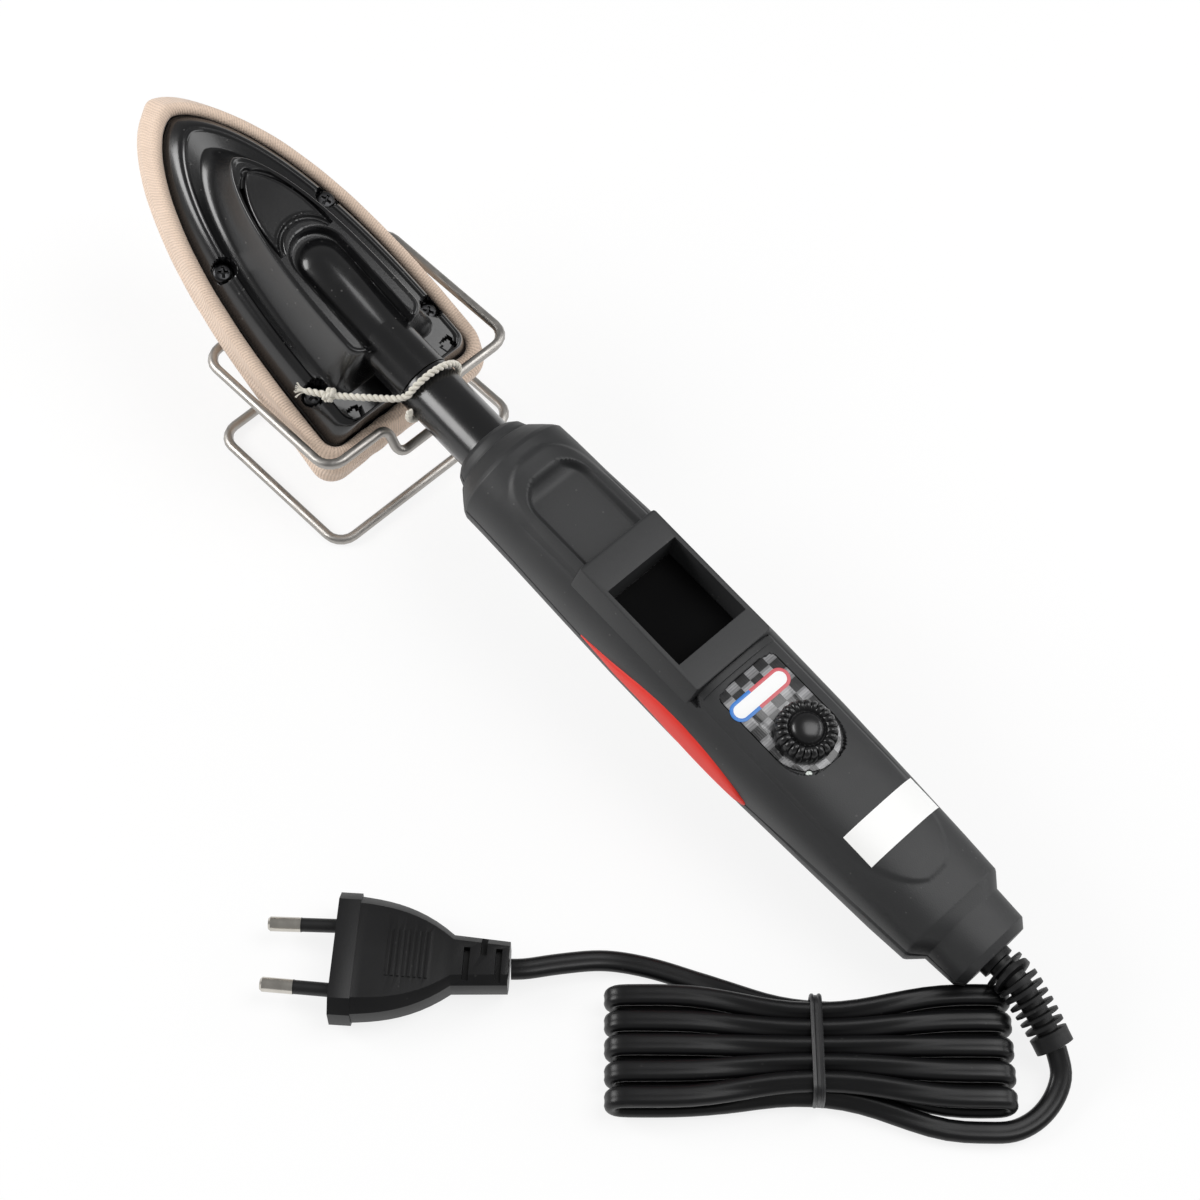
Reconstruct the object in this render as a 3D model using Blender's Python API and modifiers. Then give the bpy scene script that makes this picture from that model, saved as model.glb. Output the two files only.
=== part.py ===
"""Sealing iron for heat-shrink covering: a shoe-shaped head in a cloth cover, a handle with a
temperature knob, a mains cord in a hank, and a bent-wire stand.

Metres, +Z up. +X runs along the iron from the tip of the shoe to the cord, +Y is its right side.
The iron lies as it does in use: the handle's rear edge on the table, the shoe on the stand.
"""
import math

import bmesh
import bpy
import numpy as np
from mathutils import Matrix, Vector

MM = 0.001

# How the iron lies, and the clearances that all pieces share
HANDLE_PITCH = math.radians(10.9)
HEAD_PITCH = math.radians(12.85)
GAP = 0.3 * MM
OVERRUN = 6.0 * MM

# Handle: two moulded shells. The axis is the neck's; the datum is the front of the display bezel.
HANDLE_NOSE = 49.0 * MM
HANDLE_LENGTH = 197.3 * MM
HANDLE_WIDTH = 38.8 * MM
HANDLE_CROWN = 19.2 * MM
HANDLE_KEEL = 17.2 * MM
PARTING_DEPTH = 5.0 * MM
SHELL_WALL = 2.4 * MM
CAVITY_FRONT = 35.0 * MM
# Stations along the length: place, half width, middle, crown and keel as shares of the handle's
# length, half width, crown and keel, then the roundness of the upper and the lower half
HANDLE_SHARES = (
    (0.0000, 0.510, 0.000, 0.516, 0.576, 2.0, 2.0),
    (0.0071, 0.593, 0.000, 0.599, 0.669, 2.0, 2.0),
    (0.0182, 0.639, 0.000, 0.646, 0.721, 2.0, 2.0),
    (0.0220, 0.644, 0.000, 0.651, 0.727, 2.0, 2.0),
    (0.0243, 0.701, 0.000, 0.708, 0.791, 2.0, 2.0),
    (0.0380, 0.814, 0.015, 0.833, 0.895, 2.1, 2.0),
    (0.0490, 0.897, 0.026, 0.922, 0.965, 2.2, 2.0),
    (0.0558, 0.928, 0.042, 0.950, 0.988, 2.3, 2.0),
    (0.0900, 0.930, 0.045, 0.945, 0.975, 2.5, 2.0),
    (0.1500, 0.936, 0.052, 0.950, 0.945, 2.6, 2.1),
    (0.2484, 0.969, 0.063, 0.975, 0.907, 2.8, 2.1),
    (0.3600, 0.995, 0.078, 0.995, 0.872, 3.0, 2.2),
    (0.4815, 1.000, 0.094, 1.000, 0.849, 3.0, 2.2),
    (0.6183, 0.979, 0.115, 1.000, 0.837, 3.0, 2.2),
    (0.7603, 0.928, 0.146, 0.982, 0.826, 3.0, 2.1),
    (0.8560, 0.886, 0.177, 0.971, 0.826, 3.0, 2.1),
    (0.9174, 0.850, 0.208, 0.960, 0.820, 3.0, 2.0),
    (0.9210, 0.832, 0.220, 0.950, 0.790, 2.9, 2.0),
    (0.9387, 0.665, 0.286, 0.911, 0.436, 2.6, 2.1),
    (0.9880, 0.640, 0.302, 0.896, 0.384, 2.6, 2.1),
    (1.0000, 0.546, 0.302, 0.802, 0.279, 2.5, 2.1),
)
REAR_FOOT_SHARE = 0.9174

# Raised tongue on the handle's top, and the thumb rest in its front
TONGUE_FRONT = 35.0 * MM
TONGUE_WIDTH = 27.8 * MM
TONGUE_RAISE = 0.5 * MM
TONGUE_NOSE = 14.0 * MM
THUMB_FRONT = 29.0 * MM
THUMB_SLOPE = 5.6 * MM
THUMB_WIDTH = 22.0 * MM
THUMB_FLOOR = 15.0 * MM
THUMB_NOSE = 9.0 * MM

# Display bezel with its empty bay
BEZEL_LENGTH = 45.8 * MM
BEZEL_TOP = 21.0 * MM
BEZEL_SEAT = 14.4 * MM
BEZEL_TOP_WIDTH = 27.8 * MM
BEZEL_FOOT_WIDTH = 32.8 * MM
BEZEL_ROUND = 0.7 * MM
BAY_FRONT = 9.7 * MM
BAY_LENGTH = 27.7 * MM
BAY_WIDTH = 25.0 * MM
BAY_DEPTH = 10.1 * MM
BAY_WALL = 1.4 * MM
BAY_PANEL = 1.0 * MM

# Scale panel round the knob
PANEL_FRONT = 49.6 * MM
PANEL_LENGTH = 34.0 * MM
PANEL_WIDTH = 21.0 * MM
PANEL_DEPTH = 1.2 * MM
PANEL_SKIN = 0.5 * MM
PANEL_CORNER = 2.5 * MM
PANEL_TAIL = 11.0 * MM
PILOT_PLACE = 81.6 * MM
PILOT_SIDE = 6.6 * MM
PILOT_RADIUS = 0.9 * MM

# Temperature knob and potentiometer
KNOB_PLACE = 72.9 * MM
KNOB_RADIUS = 8.8 * MM
KNOB_HEIGHT = 7.0 * MM
KNOB_RIBS = 24
KNOB_RIB_SHARE = 0.07
KNOB_CROWN_SHARE = 0.62
KNOB_CROWN_RISE = 1.3 * MM
SHAFT_RADIUS = 3.0 * MM
SHAFT_HOLD = 4.6 * MM
POT_BODY = 14.0 * MM
POT_HEIGHT = 6.6 * MM
POT_BUSH_RADIUS = 4.4 * MM

# Side inserts
INSERT_FRONT = 9.7 * MM
INSERT_LENGTH = 62.7 * MM
INSERT_HEIGHT = 5.6 * MM
INSERT_DROP = 5.4 * MM
INSERT_PROUD = 0.4 * MM
INSERT_DEPTH = 1.5 * MM

# Circuit board and what is on it
BOARD_FRONT = 2.0 * MM
BOARD_MARGIN = 7.0 * MM
BOARD_TOP = 6.4 * MM
BOARD_THICK = 1.6 * MM
POST_RADIUS = 3.8 * MM
POST_FRONT = 12.0 * MM
BOARD_POST_FRONT = 20.0 * MM
SCREW_HEAD_RADIUS = 2.9 * MM
SCREW_HEAD = 2.0 * MM
SCREW_SHANK = 1.4 * MM
WELL_RADIUS = 3.3 * MM
CASE_WELL = 5.0 * MM
CAPACITOR = (17.5 * MM, 7.5 * MM, 8.0 * MM)
CAPACITOR_PLACE = 42.0 * MM
TRIAC = (10.0 * MM, 4.5 * MM, 9.0 * MM)
TERMINAL = (8.0 * MM, 16.0 * MM, 8.0 * MM)
CLAMP_WIDTH = 11.0 * MM
CLAMP_RISE = 2.0 * MM
# Places behind the knob, as shares of the stretch from its axis to the handle's rear end
CAVITY_REAR_SHARE = 0.7308
TONGUE_REAR_SHARE = 0.6711
TONGUE_TAIL_SHARE = 0.3714
BOARD_REAR_SHARE = 0.4655
BOARD_POST_SHARE = 0.2533
TRIAC_SHARE = 0.3196
TERMINAL_SHARE = 0.3462
POST_REAR_SHARE = 0.5716
CLAMP_LENGTH_SHARE = 0.49
HANDLE_END = HANDLE_LENGTH - HANDLE_NOSE
REAR_STRETCH = HANDLE_END - KNOB_PLACE
CAVITY_REAR = KNOB_PLACE + CAVITY_REAR_SHARE * REAR_STRETCH
POST_REAR = KNOB_PLACE + POST_REAR_SHARE * REAR_STRETCH
BOARD_REAR = KNOB_PLACE + BOARD_REAR_SHARE * REAR_STRETCH
BOARD_WIDTH = HANDLE_WIDTH - 2.0 * SHELL_WALL - BOARD_MARGIN
CLAMP_LENGTH = CLAMP_LENGTH_SHARE * (CAVITY_REAR - POST_REAR - POST_RADIUS)

# Neck tube and the leads in it
NECK_RADIUS = 8.6 * MM
NECK_BORE = 6.9 * MM
NECK_BEND = 73.0 * MM
NECK_TAIL = 31.0 * MM
NECK_JOINT = 3.0 * MM
NECK_SPIGOT = 8.0 * MM
NECK_FLANGE = 10.6 * MM
NECK_FLANGE_LENGTH = 2.4 * MM
LEAD_RADIUS = 1.1 * MM
LEAD_SPREAD = 2.6 * MM
LEAD_BOARD_SPREAD = 7.0 * MM

# Head housing: five outlines, each a shoe shape: tip, rear, half width, height at the tip, height
# at the rear. All are measured from the bend of the neck, along the head and square to its sole.
SKIRT_FOOT = (110.2 * MM, 4.6 * MM, 26.9 * MM, -26.0 * MM, -26.0 * MM)
SKIRT_RIM = (109.6 * MM, 4.8 * MM, 26.7 * MM, -22.0 * MM, -22.0 * MM)
SHOULDER = (102.0 * MM, 6.2 * MM, 21.2 * MM, -17.0 * MM, -11.0 * MM)
COVE_FOOT = (94.5 * MM, 15.5 * MM, 17.2 * MM, -14.6 * MM, -7.6 * MM)
RIDGE_EDGE = (86.0 * MM, 18.6 * MM, 12.6 * MM, -4.8 * MM, 3.6 * MM)
RIDGE_TOP = (84.5 * MM, 19.6 * MM, 11.6 * MM, -4.0 * MM, 4.4 * MM)
HEAD_CORNER = 4.5 * MM
HOUSING_WALL = 2.2 * MM
CAVITY_ROOF = (86.0 * MM, 21.0 * MM, 11.5 * MM, -11.4 * MM, -5.0 * MM)
NOSE_POWER_SHARE = 2.7
FLANK_POWER_SHARE = 1.65
SIDE_STEPS = 18
CORNER_STEPS = 4
# Valley that the neck rises from, island in front of it, arc slot and vents
VALLEY_FRONT = 57.5 * MM
VALLEY_REAR = 17.0 * MM
VALLEY_WIDTH = 19.0 * MM
VALLEY_FLOOR_FRONT = -3.6 * MM
VALLEY_FLOOR_REAR = 0.6 * MM
VALLEY_CROWN = 6.5 * MM
ARC_RADIUS = 9.6 * MM
ARC_WIDTH = 1.3 * MM
ARC_DEPTH = 1.2 * MM
VENT_LENGTH = 6.0 * MM
VENT_WIDTH = 0.8 * MM
VENT_PLACES = ((73.5 * MM, 4.4 * MM), (65.5 * MM, 7.6 * MM))
VENT_TURN = math.radians(23.0)
# Housing screws, two a side
HEAD_SCREW_PLACES = ((64.0 * MM, 19.3 * MM), (20.2 * MM, 21.9 * MM))
HEAD_WELL_FLOOR = -20.5 * MM
HEAD_BOSS_RADIUS = 3.4 * MM
HEAD_SCREW_REACH = 4.0 * MM

# Sole plate, heater and sensor
SOLE_TIP = 116.6 * MM
SOLE_REAR = 0.2 * MM
SOLE_HALF = 29.2 * MM
SOLE_TOP = -26.3 * MM
SOLE_BOTTOM = -31.5 * MM
SOLE_CHAMFER = 1.0 * MM
HEATER_TIP = 96.0 * MM
HEATER_REAR = 30.0 * MM
HEATER_HALF = 17.0 * MM
HEATER_THICK = 2.2 * MM
PAD_TIP = 92.0 * MM
PAD_REAR = 46.0 * MM
PAD_HALF = 14.0 * MM
PAD_THICK = 3.0 * MM
SENSOR_RADIUS = 1.6 * MM
SENSOR_LENGTH = 9.0 * MM
SENSOR_PLACE = 21.0 * MM

# Cloth cover over the sole, and its draw string
COVER_WALL = 1.5 * MM
COVER_ROUND = 2.6 * MM
COVER_RIM_RISE = 4.6 * MM
COVER_ROLL = 1.4 * MM
STRING_RADIUS = 1.1 * MM
STRING_PLACE = 1.0 * MM
STRING_TURNS = 18
STRING_STEP = 2.9 * MM
STRING_KNOT = 2.3 * MM
STRING_ROUTE = (
    (-22.0 * MM, -25.2 * MM, -11.6 * MM),
    (-16.0 * MM, -21.0 * MM, -8.2 * MM),
    (-9.0 * MM, -15.2 * MM, -3.2 * MM),
    (-3.6 * MM, -10.9 * MM, 1.6 * MM),
)

# Wire stand: two frames one above the other, bent from one wire
WIRE_RADIUS = 1.5 * MM
STAND_LENGTH = 54.6 * MM
STAND_WIDTH = 68.6 * MM
STAND_CORNER = 5.5 * MM
STAND_NECK = 5.0 * MM
STAND_RISER = 6.0 * MM
STAND_CLEARANCE = 0.5 * MM
JOG_WIDTH = 25.6 * MM
JOG_DROP = 8.0 * MM
JOG_REACH = 5.0 * MM
JOG_CORNER = 3.0 * MM
WIRE_ARC_STEPS = 5

# Mains cord, in the frame of the table: x along the hank, y across it
TABLE_TURN = math.radians(46.24)
TABLE_X = -11.55 * MM
TABLE_Y = 8.6 * MM
CORD_RADIUS = 2.1 * MM
BOOT_RADIUS = 6.0 * MM
BOOT_CORE = 4.3 * MM
BOOT_TAIL = 5.0 * MM
BOOT_RIBS = 8
BOOT_RIB_SHARE = 0.42
BOOT_FLANGE = 3.0 * MM
BOOT_ROUTE = (
    (108.6 * MM, -126.1 * MM, 15.6 * MM),
    (112.8 * MM, -131.8 * MM, 13.0 * MM),
    (116.2 * MM, -137.2 * MM, 10.2 * MM),
    (118.8 * MM, -141.8 * MM, 7.8 * MM),
)
LEAD_ROUTE = (
    (121.6 * MM, -149.2 * MM, 4.4 * MM),
    (119.6 * MM, -155.4 * MM, 2.9 * MM),
    (114.0 * MM, -160.8 * MM, 2.4 * MM),
    (106.6 * MM, -163.3 * MM, 2.4 * MM),
)
HANK_TAIL = 26.0 * MM
TAIL_ROUTE = (
    (13.3 * MM, -117.2 * MM, 3.0 * MM),
    (1.0 * MM, -115.2 * MM, 3.4 * MM),
    (-10.7 * MM, -116.8 * MM, 5.4 * MM),
)
TUBE_STEP_SHARE = 2.8

# Hank: upright loops side by side, drawn in under the tie
HANK_LOOPS = 5
HANK_LENGTH = 104.0 * MM
HANK_LEFT = 2.6 * MM
HANK_FRONT = 156.4 * MM
HANK_PITCH = 7.2 * MM
HANK_WAIST_PITCH = 4.75 * MM
HANK_RISE = 6.9 * MM
HANK_WAIST_RISE = 4.9 * MM
HANK_WAIST = 34.0 * MM
TIE_PLACE = 56.6 * MM
TIE_WIDTH = 4.6 * MM
TIE_THICK = 0.9 * MM
TIE_SLACK = 0.4 * MM
HANK_MIDDLE = TIE_THICK + TIE_SLACK + CORD_RADIUS + 0.5 * HANK_WAIST_RISE + GAP

# Plug
PLUG_X = -70.5 * MM
PLUG_Y = -116.0 * MM
PLUG_TURN = math.radians(-3.7)
PLUG_WIDTH = 35.3 * MM
PLUG_HEIGHT = 13.7 * MM
PLUG_PLATE = 5.6 * MM
PLUG_BODY = 31.5 * MM
PLUG_BODY_WIDTH = 34.0 * MM
PLUG_BODY_HEIGHT = 12.6 * MM
PLUG_NECK_WIDTH = 14.6 * MM
PLUG_RELIEF = 15.0 * MM
PLUG_RELIEF_HEIGHT = 10.4 * MM
PLUG_CHAMFER = 3.4 * MM
PLUG_GRIPS = 8
PLUG_GRIP_LENGTH = 12.0 * MM
PLUG_GRIP_WIDTH = 13.4 * MM
PLUG_GRIP_START = 14.6 * MM
PLUG_GRIP_RISE = 0.4 * MM
RELIEF_SLOT = 1.7 * MM
RELIEF_SLOT_WIDTH = 9.0 * MM
RELIEF_SLOT_DEPTH = 2.2 * MM
RELIEF_SLOT_SHARES = (0.25, 0.55, 0.82)
PIN_RADIUS = 2.0 * MM
PIN_SLEEVE_RADIUS = 1.9 * MM
PIN_LENGTH = 19.0 * MM
PIN_SLEEVE = 10.0 * MM
PIN_ROOT = 18.6 * MM
PIN_TIPS = 17.5 * MM


# Building blocks

def clear_scene():
    for obj in list(bpy.data.objects):
        bpy.data.objects.remove(obj, do_unlink=True)
    for group in list(bpy.data.collections):
        bpy.data.collections.remove(group)


def make_collection(name):
    group = bpy.data.collections.new(name)
    bpy.context.scene.collection.children.link(group)
    return group


def material(name, colour, roughness, metallic=0.0):
    mat = bpy.data.materials.get(name)
    if mat is None:
        mat = bpy.data.materials.new(name)
        mat.use_nodes = True
        shader = mat.node_tree.nodes["Principled BSDF"]
        shader.inputs["Base Color"].default_value = (*colour, 1.0)
        shader.inputs["Roughness"].default_value = roughness
        shader.inputs["Metallic"].default_value = metallic
    return mat


def empty(name, parent=None, location=(0, 0, 0), rotation=(0, 0, 0)):
    obj = bpy.data.objects.new(name, None)
    PARTS.objects.link(obj)
    obj.parent = parent
    obj.location = location
    obj.rotation_euler = rotation
    return obj


def add(name, data, look=None, parent=None, location=(0, 0, 0), rotation=(0, 0, 0)):
    """A piece in the parts collection, or a guide in the cutters collection if it has no look."""
    obj = bpy.data.objects.new(name, data)
    if look is None:
        CUTTERS.objects.link(obj)
        obj.hide_render = True
        obj.display_type = "WIRE"
    else:
        PARTS.objects.link(obj)
        data.materials.append(look)
    obj.parent = parent
    obj.location = location
    obj.rotation_euler = rotation
    return obj


def bmesh_data(name, bm, smooth=True):
    bmesh.ops.recalc_face_normals(bm, faces=bm.faces)
    mesh = bpy.data.meshes.new(name)
    bm.to_mesh(mesh)
    bm.free()
    if smooth:
        mesh.shade_smooth()
        mesh.set_sharp_from_angle(angle=math.radians(32.0))
    return mesh


def box(name, size, look=None, parent=None, location=(0, 0, 0), rotation=(0, 0, 0)):
    bm = bmesh.new()
    bmesh.ops.create_cube(bm, size=1.0)
    bmesh.ops.scale(bm, vec=size, verts=bm.verts)
    return add(name, bmesh_data(name, bm, False), look, parent, location, rotation)


def rod_into(bm, radius, low, high, x=0.0, y=0.0, segments=24):
    """An upright cylinder from low to high, added to a bmesh."""
    bmesh.ops.create_cone(
        bm, cap_ends=True, segments=segments, radius1=radius, radius2=radius, depth=high - low,
        matrix=Matrix.Translation((x, y, 0.5 * (low + high))))


def rods(name, entries, look=None, parent=None, location=(0, 0, 0), rotation=(0, 0, 0), segments=24):
    bm = bmesh.new()
    for radius, low, high, x, y in entries:
        rod_into(bm, radius, low, high, x, y, segments)
    return add(name, bmesh_data(name, bm), look, parent, location, rotation)


def turned(name, profile, look=None, parent=None, location=(0, 0, 0), rotation=(0, 0, 0),
           steps=32, closed=False):
    """A profile of (radius, height) points, top to bottom on the outside, spun about Z."""
    mesh = bpy.data.meshes.new(name)
    edges = [(i, i + 1) for i in range(len(profile) - 1)]
    if closed:
        edges.append((len(profile) - 1, 0))
    mesh.from_pydata([(r, 0, z) for r, z in profile], edges, [])
    obj = add(name, mesh, look, parent, location, rotation)
    screw = obj.modifiers.new("Spin", "SCREW")
    screw.steps = steps
    screw.render_steps = steps
    screw.use_merge_vertices = True
    screw.merge_threshold = 1e-6
    screw.use_smooth_shade = False
    return obj


def loft(name, rings, look=None, parent=None, location=(0, 0, 0), rotation=(0, 0, 0)):
    """A closed body through rings of equally many points, capped at both ends."""
    bm = bmesh.new()
    loops = [[bm.verts.new(p) for p in ring] for ring in rings]
    count = len(loops[0])
    for low, high in zip(loops, loops[1:]):
        for i in range(count):
            j = (i + 1) % count
            bm.faces.new((low[i], low[j], high[j], high[i]))
    bm.faces.new(loops[0])
    bm.faces.new(loops[-1])
    bmesh.ops.triangulate(bm, faces=bm.faces)
    return add(name, bmesh_data(name, bm), look, parent, location, rotation)


def slab(name, outline, low, high, look=None, parent=None, location=(0, 0, 0), rotation=(0, 0, 0),
         smooth=True):
    """A flat outline given a thickness: a filled 2D curve, made a mesh with its caps welded."""
    curve = bpy.data.curves.new(name, "CURVE")
    curve.dimensions = "2D"
    curve.fill_mode = "BOTH"
    curve.extrude = 0.5 * (high - low)
    spline = curve.splines.new("POLY")
    spline.points.add(len(outline) - 1)
    for point, (x, y) in zip(spline.points, outline):
        point.co = (x, y, 0, 1)
    spline.use_cyclic_u = True
    guide = bpy.data.objects.new(name + "_outline", curve)
    CUTTERS.objects.link(guide)
    bpy.context.view_layer.update()
    mesh = bpy.data.meshes.new_from_object(guide.evaluated_get(bpy.context.evaluated_depsgraph_get()))
    bpy.data.objects.remove(guide, do_unlink=True)
    bm = bmesh.new()
    bm.from_mesh(mesh)
    bmesh.ops.remove_doubles(bm, verts=bm.verts, dist=1e-6)
    bmesh.ops.translate(bm, vec=(0, 0, 0.5 * (low + high)), verts=bm.verts)
    bpy.data.meshes.remove(mesh)
    return add(name, bmesh_data(name, bm, smooth), look, parent, location, rotation)


def tube(name, points, radius, look=None, parent=None, resolution=2, cyclic=False, radii=None):
    """A round wire or cord along points, with filled ends."""
    curve = bpy.data.curves.new(name, "CURVE")
    curve.dimensions = "3D"
    curve.bevel_depth = radius
    curve.bevel_resolution = resolution
    curve.use_fill_caps = True
    spline = curve.splines.new("POLY")
    spline.points.add(len(points) - 1)
    for i, (point, p) in enumerate(zip(spline.points, points)):
        point.co = (p[0], p[1], p[2], 1)
        if radii is not None:
            point.radius = radii[i] / radius
    spline.use_cyclic_u = cyclic
    spline.use_smooth = True
    return add(name, curve, look, parent)


def boolean(obj, operand, operation="DIFFERENCE"):
    mod = obj.modifiers.new(operand.name, "BOOLEAN")
    mod.operation = operation
    mod.solver = "EXACT"
    mod.object = operand
    return mod


def bevel(obj, width, segments=2, angle=math.radians(40.0)):
    mod = obj.modifiers.new("Rounded edges", "BEVEL")
    mod.width = width
    mod.segments = segments
    mod.limit_method = "ANGLE"
    mod.angle_limit = angle
    mod.use_clamp_overlap = True
    mod.harden_normals = False
    return mod


# Outlines and routes

def rounded_outline(x0, x1, half, corner, steps=5):
    """A rectangle from x0 to x1 with round corners."""
    centres = ((x1 - corner, half - corner), (x0 + corner, half - corner),
               (x0 + corner, corner - half), (x1 - corner, corner - half))
    points = []
    for quarter, (cx, cy) in enumerate(centres):
        for i in range(steps + 1):
            angle = 0.5 * math.pi * (quarter + i / steps)
            points.append((cx + corner * math.cos(angle), cy + corner * math.sin(angle)))
    return points


def oval_outline(x0, x1, half, nose, tail, steps=10):
    """A long pad from x0 to x1 whose two ends are half ellipses of length nose and tail."""
    points = []
    for i in range(steps + 1):
        angle = math.pi * (0.5 - i / steps)
        points.append((x1 - tail + tail * math.cos(angle), half * math.sin(angle)))
    for i in range(steps + 1):
        angle = math.pi * (-0.5 - i / steps)
        points.append((x0 + nose + nose * math.cos(angle), half * math.sin(angle)))
    return points


def shoe_outline(tip, rear, half, corner=HEAD_CORNER):
    """The shoe's plan: pointed and full at the front, nearly straight behind, round rear corners."""
    length = tip - rear
    reach = length - corner
    side = []
    for i in range(SIDE_STEPS + 1):
        run = (i / SIDE_STEPS) ** 1.5
        left = 1.0 - run * reach / length
        fullness = (1.0 - left ** NOSE_POWER_SHARE) ** (1.0 / FLANK_POWER_SHARE)
        side.append((-tip + run * reach, half * fullness))
    x, y = side[-1]
    for i in range(1, CORNER_STEPS + 1):
        angle = 0.5 * math.pi * i / CORNER_STEPS
        side.append((x + corner * math.sin(angle), y - corner * (1.0 - math.cos(angle))))
    return side + [(px, -py) for px, py in reversed(side[1:])]


def shoe_ring(level, inset=0.0, corner=HEAD_CORNER):
    """A shoe outline laid on a plane that slopes from its tip to its rear."""
    tip, rear, half, low, high = level
    slope = (high - low) / (tip - rear)
    return [Vector((x, y, low + slope * (x + tip)))
            for x, y in shoe_outline(tip - inset, rear + inset, half - inset, corner)]


def handle_station(x):
    """Half width, middle, crown, keel and the two roundnesses at a place along the handle."""
    table = np.array(HANDLE_SHARES)
    share = (x + HANDLE_NOSE) / HANDLE_LENGTH
    columns = [float(np.interp(share, table[:, 0], table[:, i])) for i in range(1, 7)]
    half, middle, crown, keel, top_power, low_power = columns
    return (half * 0.5 * HANDLE_WIDTH, middle * HANDLE_CROWN, crown * HANDLE_CROWN,
            -keel * HANDLE_KEEL, top_power, low_power)


def handle_ring(x, grow=0.0, ceiling=None, count=40):
    half, middle, crown, keel, top_power, low_power = handle_station(x)
    crown += grow
    if ceiling is not None:
        crown = min(crown, ceiling)
    ring = []
    for i in range(count):
        angle = 2.0 * math.pi * i / count
        c, s = math.cos(angle), math.sin(angle)
        power = top_power if s >= 0.0 else low_power
        y = math.copysign(abs(c) ** (2.0 / power), c) * (half + grow)
        reach = crown - middle if s >= 0.0 else middle - keel + grow
        ring.append(Vector((x, y, middle + math.copysign(abs(s) ** (2.0 / power), s) * reach)))
    return ring


def cavity_floor(x, y):
    """Height of the cavity's floor at a place along the handle and off its middle."""
    half, middle, crown, keel, top_power, low_power = handle_station(x)
    side = min(1.0, abs(y) / (half - SHELL_WALL))
    return middle - (middle - keel - SHELL_WALL) * (1.0 - side ** low_power) ** (1.0 / low_power)


def handle_places():
    return [share[0] * HANDLE_LENGTH - HANDLE_NOSE for share in HANDLE_SHARES]


def filleted(corners, radius, steps, closed=True):
    """A path along straight runs with an arc of the given radius at each corner."""
    count = len(corners)
    points = []
    for i in range(count):
        here = Vector(corners[i])
        if not closed and i in (0, count - 1):
            points.append(here)
            continue
        bend = radius[i] if isinstance(radius, (list, tuple)) else radius
        before = (Vector(corners[i - 1]) - here).normalized()
        after = (Vector(corners[(i + 1) % count]) - here).normalized()
        half_angle = 0.5 * before.angle(after)
        setback = bend / math.tan(half_angle)
        centre = here + (before + after).normalized() * (bend / math.sin(half_angle))
        start = here + before * setback - centre
        end = here + after * setback - centre
        turn = start.angle(end)
        for k in range(steps + 1):
            t = k / steps
            arm = (start * math.sin((1.0 - t) * turn) + end * math.sin(t * turn)) / math.sin(turn)
            points.append(centre + arm)
    return points


def smooth_route(route, step, straight_ends=False):
    """Points about one step apart on a smooth curve through the route's own points. With straight
    ends, the first and the last run stay as they are, so the ends are square to what they meet."""
    knots = [Vector(p) for p in route]
    ends = [2.0 * knots[0] - knots[1]] + knots + [2.0 * knots[-1] - knots[-2]]
    fine = []
    for a, b, c, d in zip(ends, ends[1:], ends[2:], ends[3:]):
        for i in range(16):
            t = i / 16
            fine.append(0.5 * ((2.0 * b) + (c - a) * t + (2.0 * a - 5.0 * b + 4.0 * c - d) * t * t
                               + (3.0 * b - a - 3.0 * c + d) * t * t * t))
    fine.append(knots[-1])
    if straight_ends:
        middle = fine[16:-16]
        return [knots[0]] + evenly(middle, max(2, round(path_length(middle) / step))) + [knots[-1]]
    return evenly(fine, max(2, round(path_length(fine) / step)))


def path_length(points):
    return sum((Vector(b) - Vector(a)).length for a, b in zip(points, points[1:]))


def evenly(points, count):
    """The same path as count equal runs."""
    data = np.array([tuple(p) for p in points])
    along = np.concatenate(([0.0], np.cumsum(np.linalg.norm(np.diff(data, axis=0), axis=1))))
    marks = np.linspace(0.0, along[-1], count + 1)
    return [Vector([float(np.interp(m, along, data[:, k])) for k in range(3)]) for m in marks]


def least_gap(points, radius):
    """The smallest clearance of a tube to its own other turns, measured on points of its axis."""
    fine = np.array([tuple(p) for p in evenly(points, int(path_length(points) / (0.25 * radius)))])
    step = path_length(points) / (len(fine) - 1)
    skip = int(3.2 * 2.0 * radius / step)
    best = np.inf
    for i in range(len(fine) - skip):
        best = min(best, np.min(np.linalg.norm(fine[i + skip:] - fine[i], axis=1)))
    return best - 2.0 * radius


# The head

def neck_end():
    """The neck's butt joint, as a place on the handle's axis."""
    return -NECK_BEND - NECK_JOINT


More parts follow.
